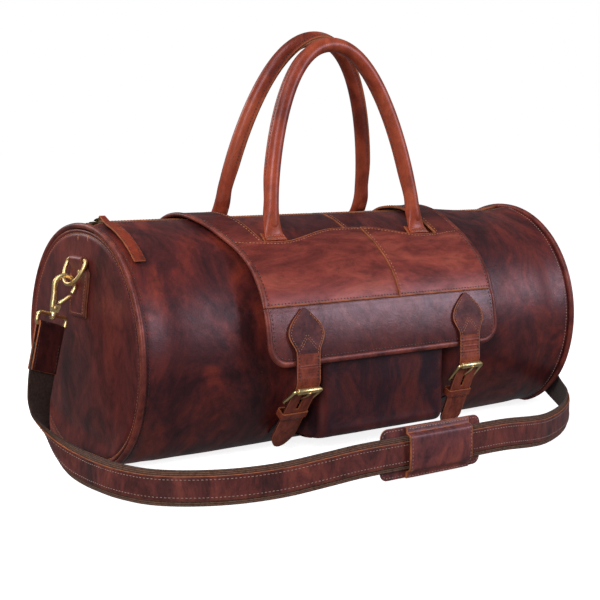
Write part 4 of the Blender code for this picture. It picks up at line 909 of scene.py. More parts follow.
STRIP_INNER = SADDLE_WIDTH / 2 - STRIP_WIDTH
SADDLE_HALF = SADDLE_WIDTH / 2
ROLL_INSET, ROLL_HALF, ROLL_THICK, ROLL_THIN, ROLL_RISE = 0.0014, 0.0038, 0.0026, 0.0014, 0.0002
OUTER_SEAM, STRIP_SEAM, LAP_SEAM, LAP_UNDER = 0.0076, 0.0042, 0.0040, 0.0013
SADDLE_SWELL, SADDLE_SINK, FLAP_SEAM, FLAP_RECESS, FLAP_SWELL = 0.0007, 0.0006, 0.0068, 0.0007, 0.0006
FLAP_ROLL = SADDLE_HALF - BINDING_RADIUS + GAP - ROLL_INSET


def lift(angle):
    top = LIFT_BACK + (LIFT_TOP - LIFT_BACK) * ease(angle, STRIP_BACK_END + 12.0, -8.0)
    return top + (LIFT_SEAM - LIFT_TOP) * ease(angle, 28.0, SEAM_ANGLE)


def wave(x):
    """The angle of the saddle's waved upper edge."""
    out, dip = abs(x), HANDLE_SPACING / 2
    if out < dip:
        return WAVE_CREST + (WAVE_DIP - WAVE_CREST) * ease(out, 0.02, dip)
    return WAVE_DIP + (WAVE_SIDE - WAVE_DIP) * ease(out, dip, SADDLE_HALF)


def flare(x, angle):
    return LEFT_FLARE * ease(x, 0.6 * STRIP_INNER, SADDLE_HALF) * (1.0 - ease(angle, 5.0, 55.0))


def saddle_point(x, angle, sign, out=0.0):
    """On the saddle, which follows the body's hollows at the back."""
    place = MIDDLE_X + sign * (x + flare(x, angle) * (sign < 0))
    sunk = dent(place, angle) * ease(-angle, 4.0, 22.0)
    return on_skin(place, angle, lift(angle) + LEATHER + out + sunk)


def saddle_relief(x, angle):
    """Small soft swells, and a slight sink along the edges that are sewn down."""
    swell = SADDLE_SWELL * (soft_noise(x * 16.0, angle * 0.09, 4.0) - 0.4)
    return swell - SADDLE_SINK * hump(SADDLE_HALF - abs(x), 0.005, 0.002)


def roll(name, path, normals, body, replaced=(), both=False):
    """A rolled leather border along a path, round on top, and flatter where it meets the flap's hinge."""
    rings = []
    last = len(path) - 1
    for i, (point, normal, (along, _, _)) in enumerate(zip(path, normals, frames(path))):
        up = square_to(normal, along)
        across = along.cross(up)
        near = min(i, last - i) if both else last - i
        thick = ROLL_THIN + (ROLL_THICK - ROLL_THIN) * ease(near, 0.0, 5.0)
        turns = spread(0.0, 2 * pi, 16)[:-1]
        rings.append([point + across * ROLL_HALF * cos(a) + up * thick * sin(a) for a in turns])
    hard(name, loft(rings), TRIM, body, "saddle_leather", replaced)


def make_saddle(side, sign):
    inner_edge, back_rows, front_rows = 34, 56, 30
    columns = spread(sign * SADDLE_SEAM + GAP, STRIP_INNER, inner_edge)
    columns += spread(STRIP_INNER + 0.0013, SADDLE_HALF - 0.0030, 14)
    rows, depth = [], []
    for i, x in enumerate(columns):
        edge = wave(x)
        angles = spread(STRIP_BACK_END, edge, back_rows) + [edge + 0.6]
        angles += spread(edge + 0.6, SEAM_ANGLE - 0.6, front_rows)[1:] + [SEAM_ANGLE]
        under = -LAP_UNDER * hump(x, columns[0], 0.004) if sign < 0 else 0.0
        rows.append([saddle_point(x, a, sign, saddle_relief(sign * x, a) + under) for a in angles])
        depth += [1.0 - ease(a, 16.0, 54.0) for a in angles[0 if i >= inner_edge else back_rows:]]
    last = len(rows[0]) - 2

    def active(i, j):
        return i >= inner_edge or j >= back_rows

    def paint(i, j):
        cut = j == last or (j == back_rows and i < inner_edge) or (i == inner_edge and j < back_rows)
        return 1 if cut else 0

    obj = sheet("saddle_leather_" + side, rows, [SADDLE, EDGE], "bag", "saddle_leather", ["saddle_" + side],
                LEATHER, SOFT_BEVEL, active, paint=paint)
    shade(obj, "deep", depth)
    border = [saddle_point(FLAP_ROLL, a, sign, ROLL_RISE - LEATHER / 2)
              for a in spread(STRIP_BACK_END + 1.0, SEAM_ANGLE - 0.1, 90)]
    roll("saddle_roll_" + side, border, [from_axis(p) for p in border], "bag")

    def seam(thread_used, xs, angles, kind="saddle"):
        sew("bag", thread_used, [saddle_point(x, a, sign) for x, a in zip(xs, angles)], from_axis, kind)

    def down(x, low, high, thread_used=TAN_THREAD):
        seam(thread_used, [x] * 81, spread(low, high, 80))

    start = sign * SADDLE_SEAM
    down(SADDLE_HALF - OUTER_SEAM, STRIP_BACK_END + 2.0, SEAM_ANGLE - 1.0, BROWN_THREAD)
    down(STRIP_INNER + STRIP_SEAM, STRIP_BACK_END + 2.0, WAVE_DIP - 1.0)
    if sign > 0:
        down(SADDLE_SEAM + LAP_SEAM, WAVE_CREST + 1.0, SEAM_ANGLE - 1.5)
    xs = spread(start + 0.004, SADDLE_HALF - 0.009, 80)
    seam(TAN_THREAD, xs, [wave(x) + 1.7 for x in xs])
    seam(BROWN_THREAD, spread(start + 0.002, SADDLE_HALF - 0.004, 80), [SEAM_ANGLE - 1.2] * 81, "hinge")


SEAM_INNER = Vector(skin(SEAM_ANGLE, LIFT_SEAM))
SEAM_OUTER = Vector(skin(SEAM_ANGLE, LIFT_SEAM + LEATHER))
SEAM_DOWN = Vector((SEAM_INNER.y - SEAM_OUTER.y, SEAM_OUTER.x - SEAM_INNER.x)).normalized()
FLAP_END_Z = SEAM_INNER.y - FLAP_DROP


def flap_curve():
    down = SEAM_DOWN if SEAM_DOWN.y < 0 else -SEAM_DOWN
    third = FLAP_DROP / 3
    a, d = SEAM_INNER, Vector((-FLAP_FRONT, FLAP_END_Z))
    b, c = a + down * third, d + Vector((0.0, third))
    return [a * (1 - u) ** 3 + b * 3 * u * (1 - u) ** 2 + c * 3 * u * u * (1 - u) + d * u ** 3
            for u in spread(0.0, 1.0, 48)]


FLAP_CURVE = flap_curve()
FLAP_LENGTH = sum((b - a).length for a, b in zip(FLAP_CURVE, FLAP_CURVE[1:]))
FLAP_PANEL_LENGTH = FLAP_LENGTH - 2 * BINDING_RADIUS
FLAP_PANEL_HALF = SADDLE_HALF - 2 * BINDING_RADIUS


def flap_point(drop, out=0.0):
    """The y and z at a length down the flap; out is how far off its inner face."""
    left = drop
    for a, b in zip(FLAP_CURVE, FLAP_CURVE[1:]):
        step = (b - a).length
        if left <= step or b is FLAP_CURVE[-1]:
            along = (b - a).normalized()
            return a + along * left + Vector((along.y, -along.x)) * out
        left -= step


def flap_place(x, drop, out=LEATHER):
    recess = FLAP_RECESS * (1.0 - ease(drop, 0.002, 0.010))
    return Vector((MIDDLE_X + x, *flap_point(drop, out - recess)))


def make_flap():
    inner = FLAP_PANEL_HALF - FLAP_CORNER
    turn = [inner + FLAP_CORNER * sin(radians(a)) for a in spread(8.0, 90.0, 10)]
    rows = []
    for x in [-x for x in reversed(turn)] + spread(-inner, inner, 50) + turn:
        over = max(0.0, abs(x) - inner)
        end = FLAP_PANEL_LENGTH - FLAP_CORNER + sqrt(max(0.0, FLAP_CORNER * FLAP_CORNER - over * over))
        row = []
        for drop in spread(GAP, end, 26):
            swell = FLAP_SWELL * (soft_noise(x * 20.0, drop * 30.0, 1.0) - 0.5)
            row.append(flap_place(x, drop, LEATHER + swell))
        rows.append(row)
    sheet("flap_leather", rows, [FLAP, EDGE], "flap", "body_leather", ["flap_panel"],
          centre=(MIDDLE_X, 0.0, 0.15))

    def border(inset, start):
        edge = FLAP_PANEL_HALF + BINDING_RADIUS + GAP - inset
        low = FLAP_PANEL_LENGTH + BINDING_RADIUS + GAP - inset
        radius = FLAP_CORNER + BINDING_RADIUS + GAP - inset
        half = [(edge, d) for d in spread(start, low - radius, 24)]
        for a in spread(0.0, pi / 2, 16)[1:]:
            u, v = polar(radius, a)
            half.append((edge - radius + u, low - radius + v))
        base = spread(half[-1][0], -half[-1][0], 60)[1:-1]
        return half + [(x, half[-1][1]) for x in base] + [(-x, d) for x, d in reversed(half)]

    path, normals = [], []
    for x, drop in border(ROLL_INSET, 3 * GAP):
        p, q = flap_point(drop, LEATHER / 2 + ROLL_RISE), flap_point(drop, LEATHER)
        path.append(Vector((MIDDLE_X + x, *p)))
        normals.append(Vector((0.0, *(q - p))))
    roll("flap_roll", path, normals, "flap", ["flap_binding"], True)
    path = [flap_place(x, drop) for x, drop in border(FLAP_SEAM, 2 * GAP + BINDING_RADIUS)]
    sew("flap", BROWN_THREAD, path, Vector((0.0, -1.0, 0.0)), "flap")


# Front pocket

POCKET_RIDGE, POCKET_TURN_IN, POCKET_LEATHER = 0.0014, 0.013, 0.0022
POCKET_CLEAR, POCKET_BELLY, POCKET_HOLLOW = 0.0004, 0.0012, 0.0014


def make_pocket():
    """A gusseted pocket with a soft ridge round its front, rounded in under itself."""
    half, inner = POCKET_WIDTH / 2, POCKET_WIDTH / 2 - POCKET_CORNER
    levels = [(z, 0.0) for z in spread(POCKET_TOP, POCKET_BOTTOM + POCKET_TURN_IN, 40)]
    levels += [(POCKET_BOTTOM + POCKET_TURN_IN * (1.0 - sin(a)), POCKET_TURN_IN * (1.0 - cos(a)))
               for a in spread(0.0, pi / 2, 10)[1:]]
    levels += [(POCKET_BOTTOM, d) for d in (0.020, 0.030, 0.042, 0.052)]
    rows, worn = [], []
    for z, inset in levels:
        wall = -body_front(z) + POCKET_CLEAR
        low = hump(z, POCKET_BOTTOM + 0.006, 0.007)
        front = POCKET_FRONT - inset - POCKET_RIDGE
        line = [(-half, wall + (front - POCKET_CORNER - wall) * u, 0.0) for u in spread(0.0, 1.0, 12)]
        for a in spread(0.0, pi / 2, 12)[1:]:
            swell = hump(a, pi / 4, 0.5)
            u, v = polar(POCKET_CORNER + POCKET_RIDGE * swell, a)
            line.append((-inner - u, front - POCKET_CORNER + v, swell))
        gusset = [(-x, y, w) for x, y, w in reversed(line)]
        for u in spread(-1.0, 1.0, 44)[1:-1]:
            near = hump(inner - abs(u * inner), 0.0, 0.006)
            belly = POCKET_BELLY * (1.0 - u * u) * ease(z, 0.04, 0.09)
            belly -= POCKET_HOLLOW * soft_noise(u * 3.0, z * 22.0, 5.0)
            line.append((u * inner, front + belly * (1.0 - near) + POCKET_RIDGE * low * 0.9,
                         max(0.55 * low, 0.15 * near)))
        squeeze = 1.0 - 0.010 * (1.0 - ease(z, POCKET_BOTTOM, POCKET_BOTTOM + 0.02))
        row = []
        for x, y, w in line + gusset:
            sunk = 0.010 * soft_noise(x * 30.0, z * 26.0, 2.0) * (1.0 - w)
            row.append(Vector((MIDDLE_X + x * squeeze * (1.0 - sunk), -max(y, wall), z)))
            # Paler leather on the corners and along the low ridge: partly wear, partly a painted highlight.
            worn.append(0.55 * w * (0.5 + 0.5 * soft_noise(x * 60.0, z * 60.0, 7.0)))
        rows.append(row)
    obj = sheet("pocket_leather", rows, [POCKET, EDGE], "bag", "body_leather", ["pocket"], POCKET_LEATHER,
                centre=(MIDDLE_X, -0.09, 0.09))
    shade(obj, "wear_and_highlight", worn)


# Flap straps and buckles

STRAP_BACK = FLAP_FRONT + LEATHER + BINDING_RADIUS
BEND_DROP = FLAP_LENGTH + STRAP_HANG
BEND_Z = FLAP_END_Z - STRAP_HANG
SPADE_END = SPADE_START + SPADE_LENGTH
BAR_BEND = BUCKLE_WIRE + GAP
HEEL_DEPTH = -(GAP + CHAPE_THICK + BAR_BEND)
ROLLER_DEPTH = STRAP_THICK + GAP + ROLLER_RADIUS
TONGUE_SLOT = TONGUE_WIDTH / 2 + 3 * GAP
ROLLER_PROFILE = [(-1.0, 0.90), (-0.98, 1.18), (-0.95, 1.27), (0.95, 1.27), (0.98, 1.18), (1.0, 0.90)]
SPADE_BORDER, STRAP_BORDER, STITCH_RISE = 0.0038, 0.0034, 0.0001
CHEVRON_TOPS, CHEVRON_HALF, CHEVRON_DROP = (0.030, 0.0342), 0.0105, 0.0125
STRAP_CREASE, STRAP_ROUNDING, KEEPER_SAG, KEEPER_CORNER = 0.0007, 0.0004, 0.0030, 0.0022


def strap_face(drop, slope):
    """A place on the strap's back, and the direction off it, at a length down from the flap's seam."""
    if drop < FLAP_LENGTH:
        rise = (BINDING_RADIUS - GAP) * ease(drop, 0.4 * FLAP_LENGTH, 0.9 * FLAP_LENGTH)
        back = flap_point(drop, LEATHER + GAP + rise)
        return back, (flap_point(drop, LEATHER + GAP + rise + STRAP_THICK) - back).normalized()
    turn = min(max((drop - BEND_DROP) / STRAP_BEND, 0.0), slope)
    out = Vector((-cos(turn), -sin(turn)))
    if drop <= BEND_DROP:
        return Vector((-STRAP_BACK, FLAP_END_Z - (drop - FLAP_LENGTH))), out
    arc = Vector((-STRAP_BACK + STRAP_BEND * (1.0 - cos(turn)), BEND_Z - STRAP_BEND * sin(turn)))
    tail = max(0.0, drop - BEND_DROP - STRAP_BEND * slope)
    return arc + Vector((-out.y, out.x)) * tail, out


def tail_place(x, slope):
    """Places on the strap's straight tail: across it, down it and off its back."""
    start, out = strap_face(BEND_DROP + STRAP_BEND * slope, slope)
    down = Vector((-out.y, out.x))
    return lambda u, s, w: Vector((x + u, *(start + down * s + out * w)))


def strap_half_width(drop, length):
    half = STRAP_WIDTH / 2
    down, peak = drop - SPADE_START, SPADE_LENGTH * SPADE_PEAK
    if down < peak:
        return POINT_WIDTH + (SPADE_WIDTH / 2 - POINT_WIDTH) * sin(pi / 2 * down / peak)
    if down < SPADE_LENGTH:
        return half + (SPADE_WIDTH / 2 - half) * (1.0 - ease(down, peak, SPADE_LENGTH))
    left = length - drop
    if left > STRAP_POINT:
        return half
    return POINT_WIDTH + (half - POINT_WIDTH) * sqrt(max(0.0, left / STRAP_POINT))


def make_flap_strap(side, x, slope):
    head_rows = 40
    bend_end = BEND_DROP + STRAP_BEND * slope
    length = bend_end + TAIL_LENGTH
    slot_share = TONGUE_SLOT / (STRAP_WIDTH / 2)
    slot_end = bend_end + BUCKLE_HEIGHT + SLOT_REACH
    drops = spread(SPADE_START, SPADE_END, head_rows) + spread(SPADE_END, bend_end, 26)[1:]
    first_cut = len(drops) - 1
    drops += spread(bend_end, slot_end, 22)[1:]
    last_cut = len(drops) - 1
    drops += spread(slot_end, length - STRAP_POINT, 14)[1:]
    drops += [length - STRAP_POINT * (1.0 - sin(a)) for a in spread(0.0, pi / 2, 12)[1:]]
    shares = [-1.0, -0.935, -0.8, -0.6, -0.4, -slot_share, 0.0, slot_share, 0.4, 0.6, 0.8, 0.935, 1.0]
    cut = {shares.index(-slot_share), shares.index(0.0)}

    def surface(u, drop, extra=STITCH_RISE):
        back, out = strap_face(drop, slope)
        crease = STRAP_CREASE * sin((drop - SPADE_END) * 900.0)
        crease *= ease(drop, SPADE_END - 0.004, SPADE_END + 0.004)
        crease *= 1.0 - ease(drop, bend_end - 0.016, bend_end - 0.006)
        return Vector((x + u, *(back + out * (STRAP_THICK + extra - abs(crease)))))

    rows = grid(drops, shares,
                lambda d, s: surface(strap_half_width(d, length) * s, d, -STRAP_ROUNDING * s ** 4))
    sheet("strap_leather_" + side, rows, [STRIP, EDGE, SPADE, EDGE], "flap", "saddle_leather",
          ["flap_strap_" + side], STRAP_THICK, centre=(x, 0.0, 0.12),
          active=lambda i, j: not (first_cut <= i < last_cut and j in cut),
          paint=lambda i, j: 1 if j in (0, len(shares) - 2) else 2 if i < head_rows else 0)

    outward = Vector((0.0, -1.0, -0.2))
    for s in (-1.0, 1.0):
        border = [surface(s * max(strap_half_width(d, length) - SPADE_BORDER, 0.0006), d)
                  for d in spread(SPADE_START + 0.0075, SPADE_END, 30)]
        sew("flap", TAN_THREAD, border, outward, "spade")
        lower = [surface(s * (STRAP_WIDTH / 2 - STRAP_BORDER), d)
                 for d in spread(SPADE_END + 0.002, bend_end - 0.007, 14)]
        sew("flap", BROWN_THREAD, lower, outward, "strap")
        for top in CHEVRON_TOPS:
            chevron = [surface(s * CHEVRON_HALF * t, SPADE_START + top + CHEVRON_DROP * t)
                       for t in spread(0.06, 1.0, 8)]
            sew("flap", TAN_THREAD, chevron, outward, "spade")


def make_buckle(side, x, slope):
    place = tail_place(x, slope)
    heel, bar = place(0.0, BUCKLE_HEIGHT, HEEL_DEPTH), place(0.0, 0.0, ROLLER_DEPTH)
    height, up = (bar - heel).length, (bar - heel).normalized()
    width = STRAP_WIDTH + 2 * (BUCKLE_WIRE + 2 * GAP) + BUCKLE_WIRE
    path = [(bar + heel) / 2 + Vector((u, 0.0, 0.0)) + up * v
            for u, v in rounded(width, height, 2 * BUCKLE_WIRE)]
    hard("buckle_wire_" + side, tube(path, BUCKLE_WIRE * 1.2, 14, True), GOLD, "flap", "brass",
         ["buckle_frame_" + side])

    half = width / 2 - 2.4 * BUCKLE_WIRE
    path = [bar + Vector((half * s, 0.0, 0.0)) for s, _ in ROLLER_PROFILE]
    hard("buckle_tube_" + side, tube(path, [ROLLER_RADIUS * r for _, r in ROLLER_PROFILE], 24), GOLD,
         "roller_" + side, "brass", ["buckle_roller_" + side], sharp=50.0)

    inner = BUCKLE_WIRE + 2 * GAP
    reach = height + ROLLER_RADIUS * 0.6
    rest = ROLLER_RADIUS + 2 * GAP
    outline = [polar(inner, radians(a)) for a in spread(70.0, 380.0, 20)]
    outline += [polar(inner + TONGUE_THICK, radians(a)) for a in spread(380.0, 110.0, 18)]
    outline += [(rest, reach * 0.7), (rest, reach), (rest + TONGUE_THICK * 0.8, reach),
                (rest + TONGUE_THICK, reach * 0.94), (rest + TONGUE_THICK, reach * 0.75)]
    outward = Vector((0.0, -up.z, up.y))
    shape = prism(outline, -TONGUE_WIDTH / 2, TONGUE_WIDTH / 2,
                  lambda u, v, w: heel + outward * u + up * v + Vector((w, 0.0, 0.0)))
    hard("buckle_pin_" + side, shape, GOLD, "tongue_" + side, "brass", ["buckle_tongue_" + side],
         FINE_BEVEL, 30.0)


def make_chape(side, x, slope):
    place = tail_place(x, slope)
    fold = BAR_BEND + CHAPE_THICK / 2
    end = BUCKLE_HEIGHT + CHAPE_LAP
    path = [place(0.0, s, HEEL_DEPTH + fold) for s in spread(end, BUCKLE_HEIGHT, 8)[:-1]]
    for a in spread(0.0, pi, 14):
        path.append(place(0.0, BUCKLE_HEIGHT - fold * sin(a), HEEL_DEPTH + fold * cos(a)))
    path += [place(0.0, s, HEEL_DEPTH - fold) for s in spread(BUCKLE_HEIGHT, end, 8)[1:]]
    path += [on_skin(x, angle, 4 * GAP + CHAPE_THICK / 2) for angle in CHAPE_FOOT_ANGLES]
    half = STRAP_WIDTH * 0.30
    columns = [-half, -half * 0.6, -TONGUE_SLOT, TONGUE_SLOT, half * 0.6, half]
    rows = grid(path, columns, lambda p, u: p + Vector((u, 0.0, 0.0)))
    # Painted shade: the chape takes the darkest pocket leather and is deepened all over, so that it reads as
    # the shadow behind the strap's tail.
    obj = sheet("chape_leather_" + side, rows, [POCKET, POCKET], "flap", "saddle_leather",
                ["buckle_chape_" + side], CHAPE_THICK, THIN_BEVEL,
                lambda i, j: not (j == 2 and 6 <= i <= 23), centre=(x, 0.0, 0.0), offset=0.0)
    shade(obj, "deep", 1.0)


def make_keeper(side, x, slope):
    place = tail_place(x, slope)
    front = STRAP_THICK + GAP
    back = HEEL_DEPTH - BAR_BEND - CHAPE_THICK - GAP
    middle = (front + back) / 2
    loop = rounded(STRAP_WIDTH + 2 * GAP + 2 * KEEPER_THICK, front - back + 2 * KEEPER_THICK,
                   KEEPER_CORNER, 5)

    def down(s, u):
        return KEEPER_PLACE + s * KEEPER_HEIGHT + max(KEEPER_SAG * (1.0 - (2 * u / STRAP_WIDTH) ** 2), 0.0)

    rows = []
    for s in spread(-0.5, 0.5, 6):
        swell = 1.0 + 0.012 * cos(pi * s)
        rows.append([place(u * swell, down(s, u if v > 0 else STRAP_WIDTH), middle + v * swell)
                     for u, v in loop])
    sheet("keeper_leather_" + side, rows, [STRIP, EDGE], "flap", "saddle_leather", ["keeper_" + side],
          KEEPER_THICK, THIN_BEVEL, closed=True, centre=place(0.0, KEEPER_PLACE, middle))
    for s in (-0.28, 0.28):
        path = [place(u, down(s, u), front + KEEPER_THICK) for u in spread(-0.014, 0.014, 8)]
        sew("flap", BROWN_THREAD, path, Vector((0.0, -1.0, -0.5)), "keeper")


# Handles

SEAM_WAY = {"front": Vector((-0.6, 0.8, 0.0)), "back": Vector((0.66, -0.75, 0.0))}
SEAM_LIP = [(0.0, 0.985), (5.0, 1.17), (10.0, 1.24), (15.0, 1.17), (21.0, 1.02), (28.0, 0.985)]
RAW_LIP, LIP_STITCH = 15.0, 30.0
BACK_HANDLE_DEPTH = 0.24
FOOT_LOW, FOOT_HIGH, FOOT_WIDE, FOOT_DEEP = 8.0, 3.6, 0.0164, 0.0013
FOOT_OUT, FOOT_STEP, FOOT_SWELL = 0.0036, 0.0020, 0.0082
FOOT_CURL, FOOT_SEAM_HALF = 0.0011, 0.0138
TAB_HALF, TAB_FLARE, TAB_OUT, TAB_THICK = 0.0150, 0.0022, 0.0022, 0.0020


def handle_pivot(side):
    return Vector((MIDDLE_X, *skin(HANDLE_ANGLE[side], GAP + LEATHER + GAP + HANDLE_RADIUS)))


def handle_point(side, degrees_round):
    share = radians(degrees_round)
    x = HANDLE_SPACING / 2 * sin(share) * (1.0 - HANDLE_NARROWING * abs(sin(2 * share)))
    x += SKEW[side] * cos(share)
    rise = RISE[side] * cos(share)
    return handle_pivot(side) + Vector((x, rise * sin(LEAN[side]), rise * cos(LEAN[side])))


def make_handle(side):
    """A rolled handle: leather sewn round a cord, its two cut edges together along one side."""
    body = side + "_handle"
    path = [handle_point(side, a) for a in spread(-90.0, 90.0, 96)]
    ring = SEAM_LIP + [(a, 1.0) for a in spread(38.0, 322.0, 24)]
    ring += [(360.0 - a, r) for a, r in reversed(SEAM_LIP[1:])]
    raw = {k for k, (a, _) in enumerate(ring) if min(a, 360.0 - a) <= RAW_LIP}

    def way(line, angle):
        return line[1] * cos(radians(angle)) + line[2] * sin(radians(angle))

    rings, lines = [], []
    for i, (point, (along, _, _)) in enumerate(zip(path, frames(path))):
        first = square_to(SEAM_WAY[side], along)
        lines.append((point, first, along.cross(first)))
        fade = ease(min(i, len(path) - 1 - i), 3, 9)
        rings.append([point + way(lines[-1], a) * HANDLE_RADIUS * (1.0 + (r - 1.0) * fade) for a, r in ring])
    for end, step in ((0, 1), (-1, -2)):
        along = (path[end] - path[step]).normalized()
        caps = []
        for d in (0.45, 0.75, 0.93):
            size = HANDLE_RADIUS * sqrt(1.0 - d * d)
            caps.append([path[end] + along * d * HANDLE_RADIUS + way(lines[end], a) * size for a, _ in ring])
        rings = caps[::-1] + rings if end == 0 else rings + caps
    points, faces = loft(rings)
    edged = [1 if k in raw and (k + 1) % len(ring) in raw else 0 for k in range(len(ring))]
    obj = piece("handle_leather_" + side, points, faces, [HANDLE, EDGE], body, "handle_leather",
                ["handle_" + side, "handle_core_" + side], edged * (len(rings) - 1) + [0, 0])
    fix_normals(obj)
    if side == "back":
        shade(obj, "deep", BACK_HANDLE_DEPTH)
    for turn in (LIP_STITCH, -LIP_STITCH):
        outs = [way(line, turn) for line in lines[8:-8]]
        track = [line[0] + out * HANDLE_RADIUS for line, out in zip(lines[8:-8], outs)]
        sew(body, BROWN_THREAD, track, like_nearest(track, outs), "handle")


def make_handle_ends(side):
    """The flared foot of each handle end, sewn flat to the body over a leather tab."""
    turn = 1.0 if side == "front" else -1.0
    angle = HANDLE_ANGLE[side]
    pivot = handle_pivot(side)
    for end, sign in SIDES:
        x = MIDDLE_X + sign * HANDLE_SPACING / 2

        def tab_point(a, s):
            half = TAB_HALF + TAB_FLARE * ease(a, 2.0, 8.0)
            return on_skin(x + half * s, angle + turn * (a - 0.7 * abs(s) ** 5), GAP + TAB_OUT)

        sheet("tab_leather_%s_%s" % (side, end), grid(spread(2.0, 8.6, 12), spread(-1.0, 1.0, 14), tab_point),
              [HANDLE, EDGE], "bag", "handle_leather", ["handle_tab_%s_%s" % (side, end)], TAB_THICK)
        leg = [handle_point(side, sign * (90.0 - d)) for d in (3.0, 7.0, 11.0)]
        bottom = on_skin(x, angle + turn * FOOT_LOW, GAP + FOOT_OUT)
        near = on_skin(x, angle + turn * FOOT_HIGH, GAP + FOOT_OUT + FOOT_STEP)
        guide = [bottom, near, leg[0] + Vector((0.0, 0.0, -0.003)), leg[1], leg[2]]
        centre = [p for p, _ in spline(guide, 5)]
        rings, last = [], len(centre) - 1
        for i, (p, (along, _, _)) in enumerate(zip(centre, frames(centre))):
            wide_way = square_to(Vector((1.0, 0.0, 0.0)), along)
            deep_way = along.cross(wide_way)
            t = i / last
            close = HANDLE_RADIUS * (1.06 - 0.058 * ease(t, 0.45, 0.95))
            wide = FOOT_WIDE + (close - FOOT_WIDE) * ease(t, -0.15, 0.70)
            deep = FOOT_DEEP + (close - FOOT_DEEP) * ease(t, 0.02, 0.60)
            if i == last:
                wide = deep = HANDLE_RADIUS * 0.985
            ring = []
            for k in range(32):
                a = 2 * pi * k / 32
                crease = 1.0 + 0.018 * sin(t * 26.0 + 2.5 * abs(cos(a)) + sign) * hump(t, 0.22, 0.14)
                ring.append(p + wide_way * wide * cos(a) + deep_way * deep * sin(a) * crease)
            rings.append(ring)
        obj = piece("handle_foot_%s_%s" % (side, end), *loft(rings), [HANDLE], None, "handle_leather")
        fix_normals(obj)
        if side == "back":
            shade(obj, "deep", BACK_HANDLE_DEPTH)
        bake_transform(obj)
        for a in (7.3, 6.0):
            share = (FOOT_LOW - a) / (FOOT_LOW - FOOT_HIGH)
            top = FOOT_OUT + FOOT_STEP * share + FOOT_DEEP + FOOT_SWELL * ease(share / 4, 0.02, 0.60)
            path = [on_skin(x + d, angle + turn * a, GAP + top - FOOT_CURL * abs(d / TAB_HALF) ** 3)
                    for d in spread(-FOOT_SEAM_HALF, FOOT_SEAM_HALF, 14)]
            sew("bag", CREAM_THREAD, path, from_axis, "foot")


# Rings and hooks

RING_BEND = RING_WIRE + GAP
RING_X = end_face(RING_Y, RING_Z, 2 * GAP + RING_TAB_THICK + RING_BEND)
RING_TAB_OUT = 3 * GAP + 2 * RING_TAB_THICK
RING_TAB_FOLD_Z = RING_Z - 0.016
RING_TAB_SHOULDER, RING_TAB_SEAM, RING_TAB_LOW_SEAM = 0.0060, 0.0032, 0.005
TAB_RIVET, HOOK_RIVET = (0.0034, 0.0014), (0.0021, 0.0007)


def flip(points, sign):
    return [Vector((sign * p[0], p[1], p[2])) for p in points]


def disc(at, normal, radius, rise):
    """A low dome, such as a rivet's head."""
    along = Vector(normal).normalized()
    path = [Vector(at) + along * rise * h for h in (-0.6, 0.35, 0.75, 1.0)]
    return tube(path, [radius, radius, radius * 0.8, radius * 0.35], 16)


def make_ring_tab(side, sign):
    half = RING_TAB_THICK / 2
    fold = RING_BEND + half
    low = RING_TAB_END_Z
    outward = Vector((sign, 0.0, 0.0))

    def shoulder(z):
        return RING_TAB_SHOULDER * ease(z, low, RING_TAB_FOLD_Z)

    def on_tab(y, z):
        return Vector((sign * end_face(RING_Y, z, RING_TAB_OUT), RING_Y + y, z))

    path = [(end_face(RING_Y, z, 2 * GAP + half), z) for z in spread(low, RING_Z, 14)[:-1]]
    path += [(RING_X - fold * cos(a), RING_Z + fold * sin(a)) for a in spread(0.0, pi, 16)]
    path += [(end_face(RING_Y, z, 3 * GAP + RING_TAB_THICK + half), z)
             for z in spread(RING_Z - 0.010, low + 0.002, 16)]
    rows = []
    for x, z in path:
        folded = ease(z, RING_TAB_FOLD_Z, RING_Z - 0.004)
        left = RING_TAB_WIDTH / 2 - 0.0035 * folded
        right = RING_TAB_WIDTH / 2 - 0.0030 * folded + shoulder(z) * (1.0 - folded)
        rows.append([Vector((sign * x, RING_Y + y, z)) for y in spread(-right, left, 10)])
    sheet("ring_tab_leather_" + side, rows, [END, DARK_EDGE], "bag", "saddle_leather", ["ring_tab_" + side],
          RING_TAB_THICK, FINE_BEVEL, centre=(sign * RING_X, RING_Y, 0.20), offset=0.0)
    for s in (-1.0, 1.0):
        line = [on_tab(s * (RING_TAB_WIDTH / 2 - RING_TAB_SEAM + shoulder(z) * (s < 0)), z)
                for z in spread(RING_TAB_FOLD_Z, low + RING_TAB_LOW_SEAM, 16)]
        sew("bag", TAN_THREAD, line, outward, "ring_tab")
    line = [on_tab(d, low + RING_TAB_LOW_SEAM) for d in spread(-0.014, 0.014, 8)]
    sew("bag", TAN_THREAD, line, outward, "ring_tab")
    rivet = disc(on_tab(-0.005, RING_Z - 0.0145), outward, *TAB_RIVET)
    hard("ring_tab_rivet_" + side, rivet, BRASS, "bag", "brass")


def ring_point(u, v):
    return Vector((RING_X + v * sin(RING_LEAN), RING_Y + u, RING_Z - v * cos(RING_LEAN)))


def make_ring(side, sign):
    half = RING_WIDTH / 2
    bend = [(0.90, 0.012), (0.96, 0.06), (0.99, 0.14)]
    track = [(half * s, 0.0) for s in spread(-0.80, 0.80, 8)] + [(half * u, half * v) for u, v in bend]
    track += [(half * cos(a), half * 0.3 + (RING_DEPTH - half * 0.3) * sin(a)) for a in spread(0.0, pi, 30)]
    track += [(-half * u, half * v) for u, v in reversed(bend)]
    path = flip([ring_point(u, v) for u, v in track], sign)
    hard("d_ring_wire_" + side, tube(path, RING_WIRE * 1.1, 16, True), BRASS, "ring_" + side, "brass",
         ["d_ring_" + side])


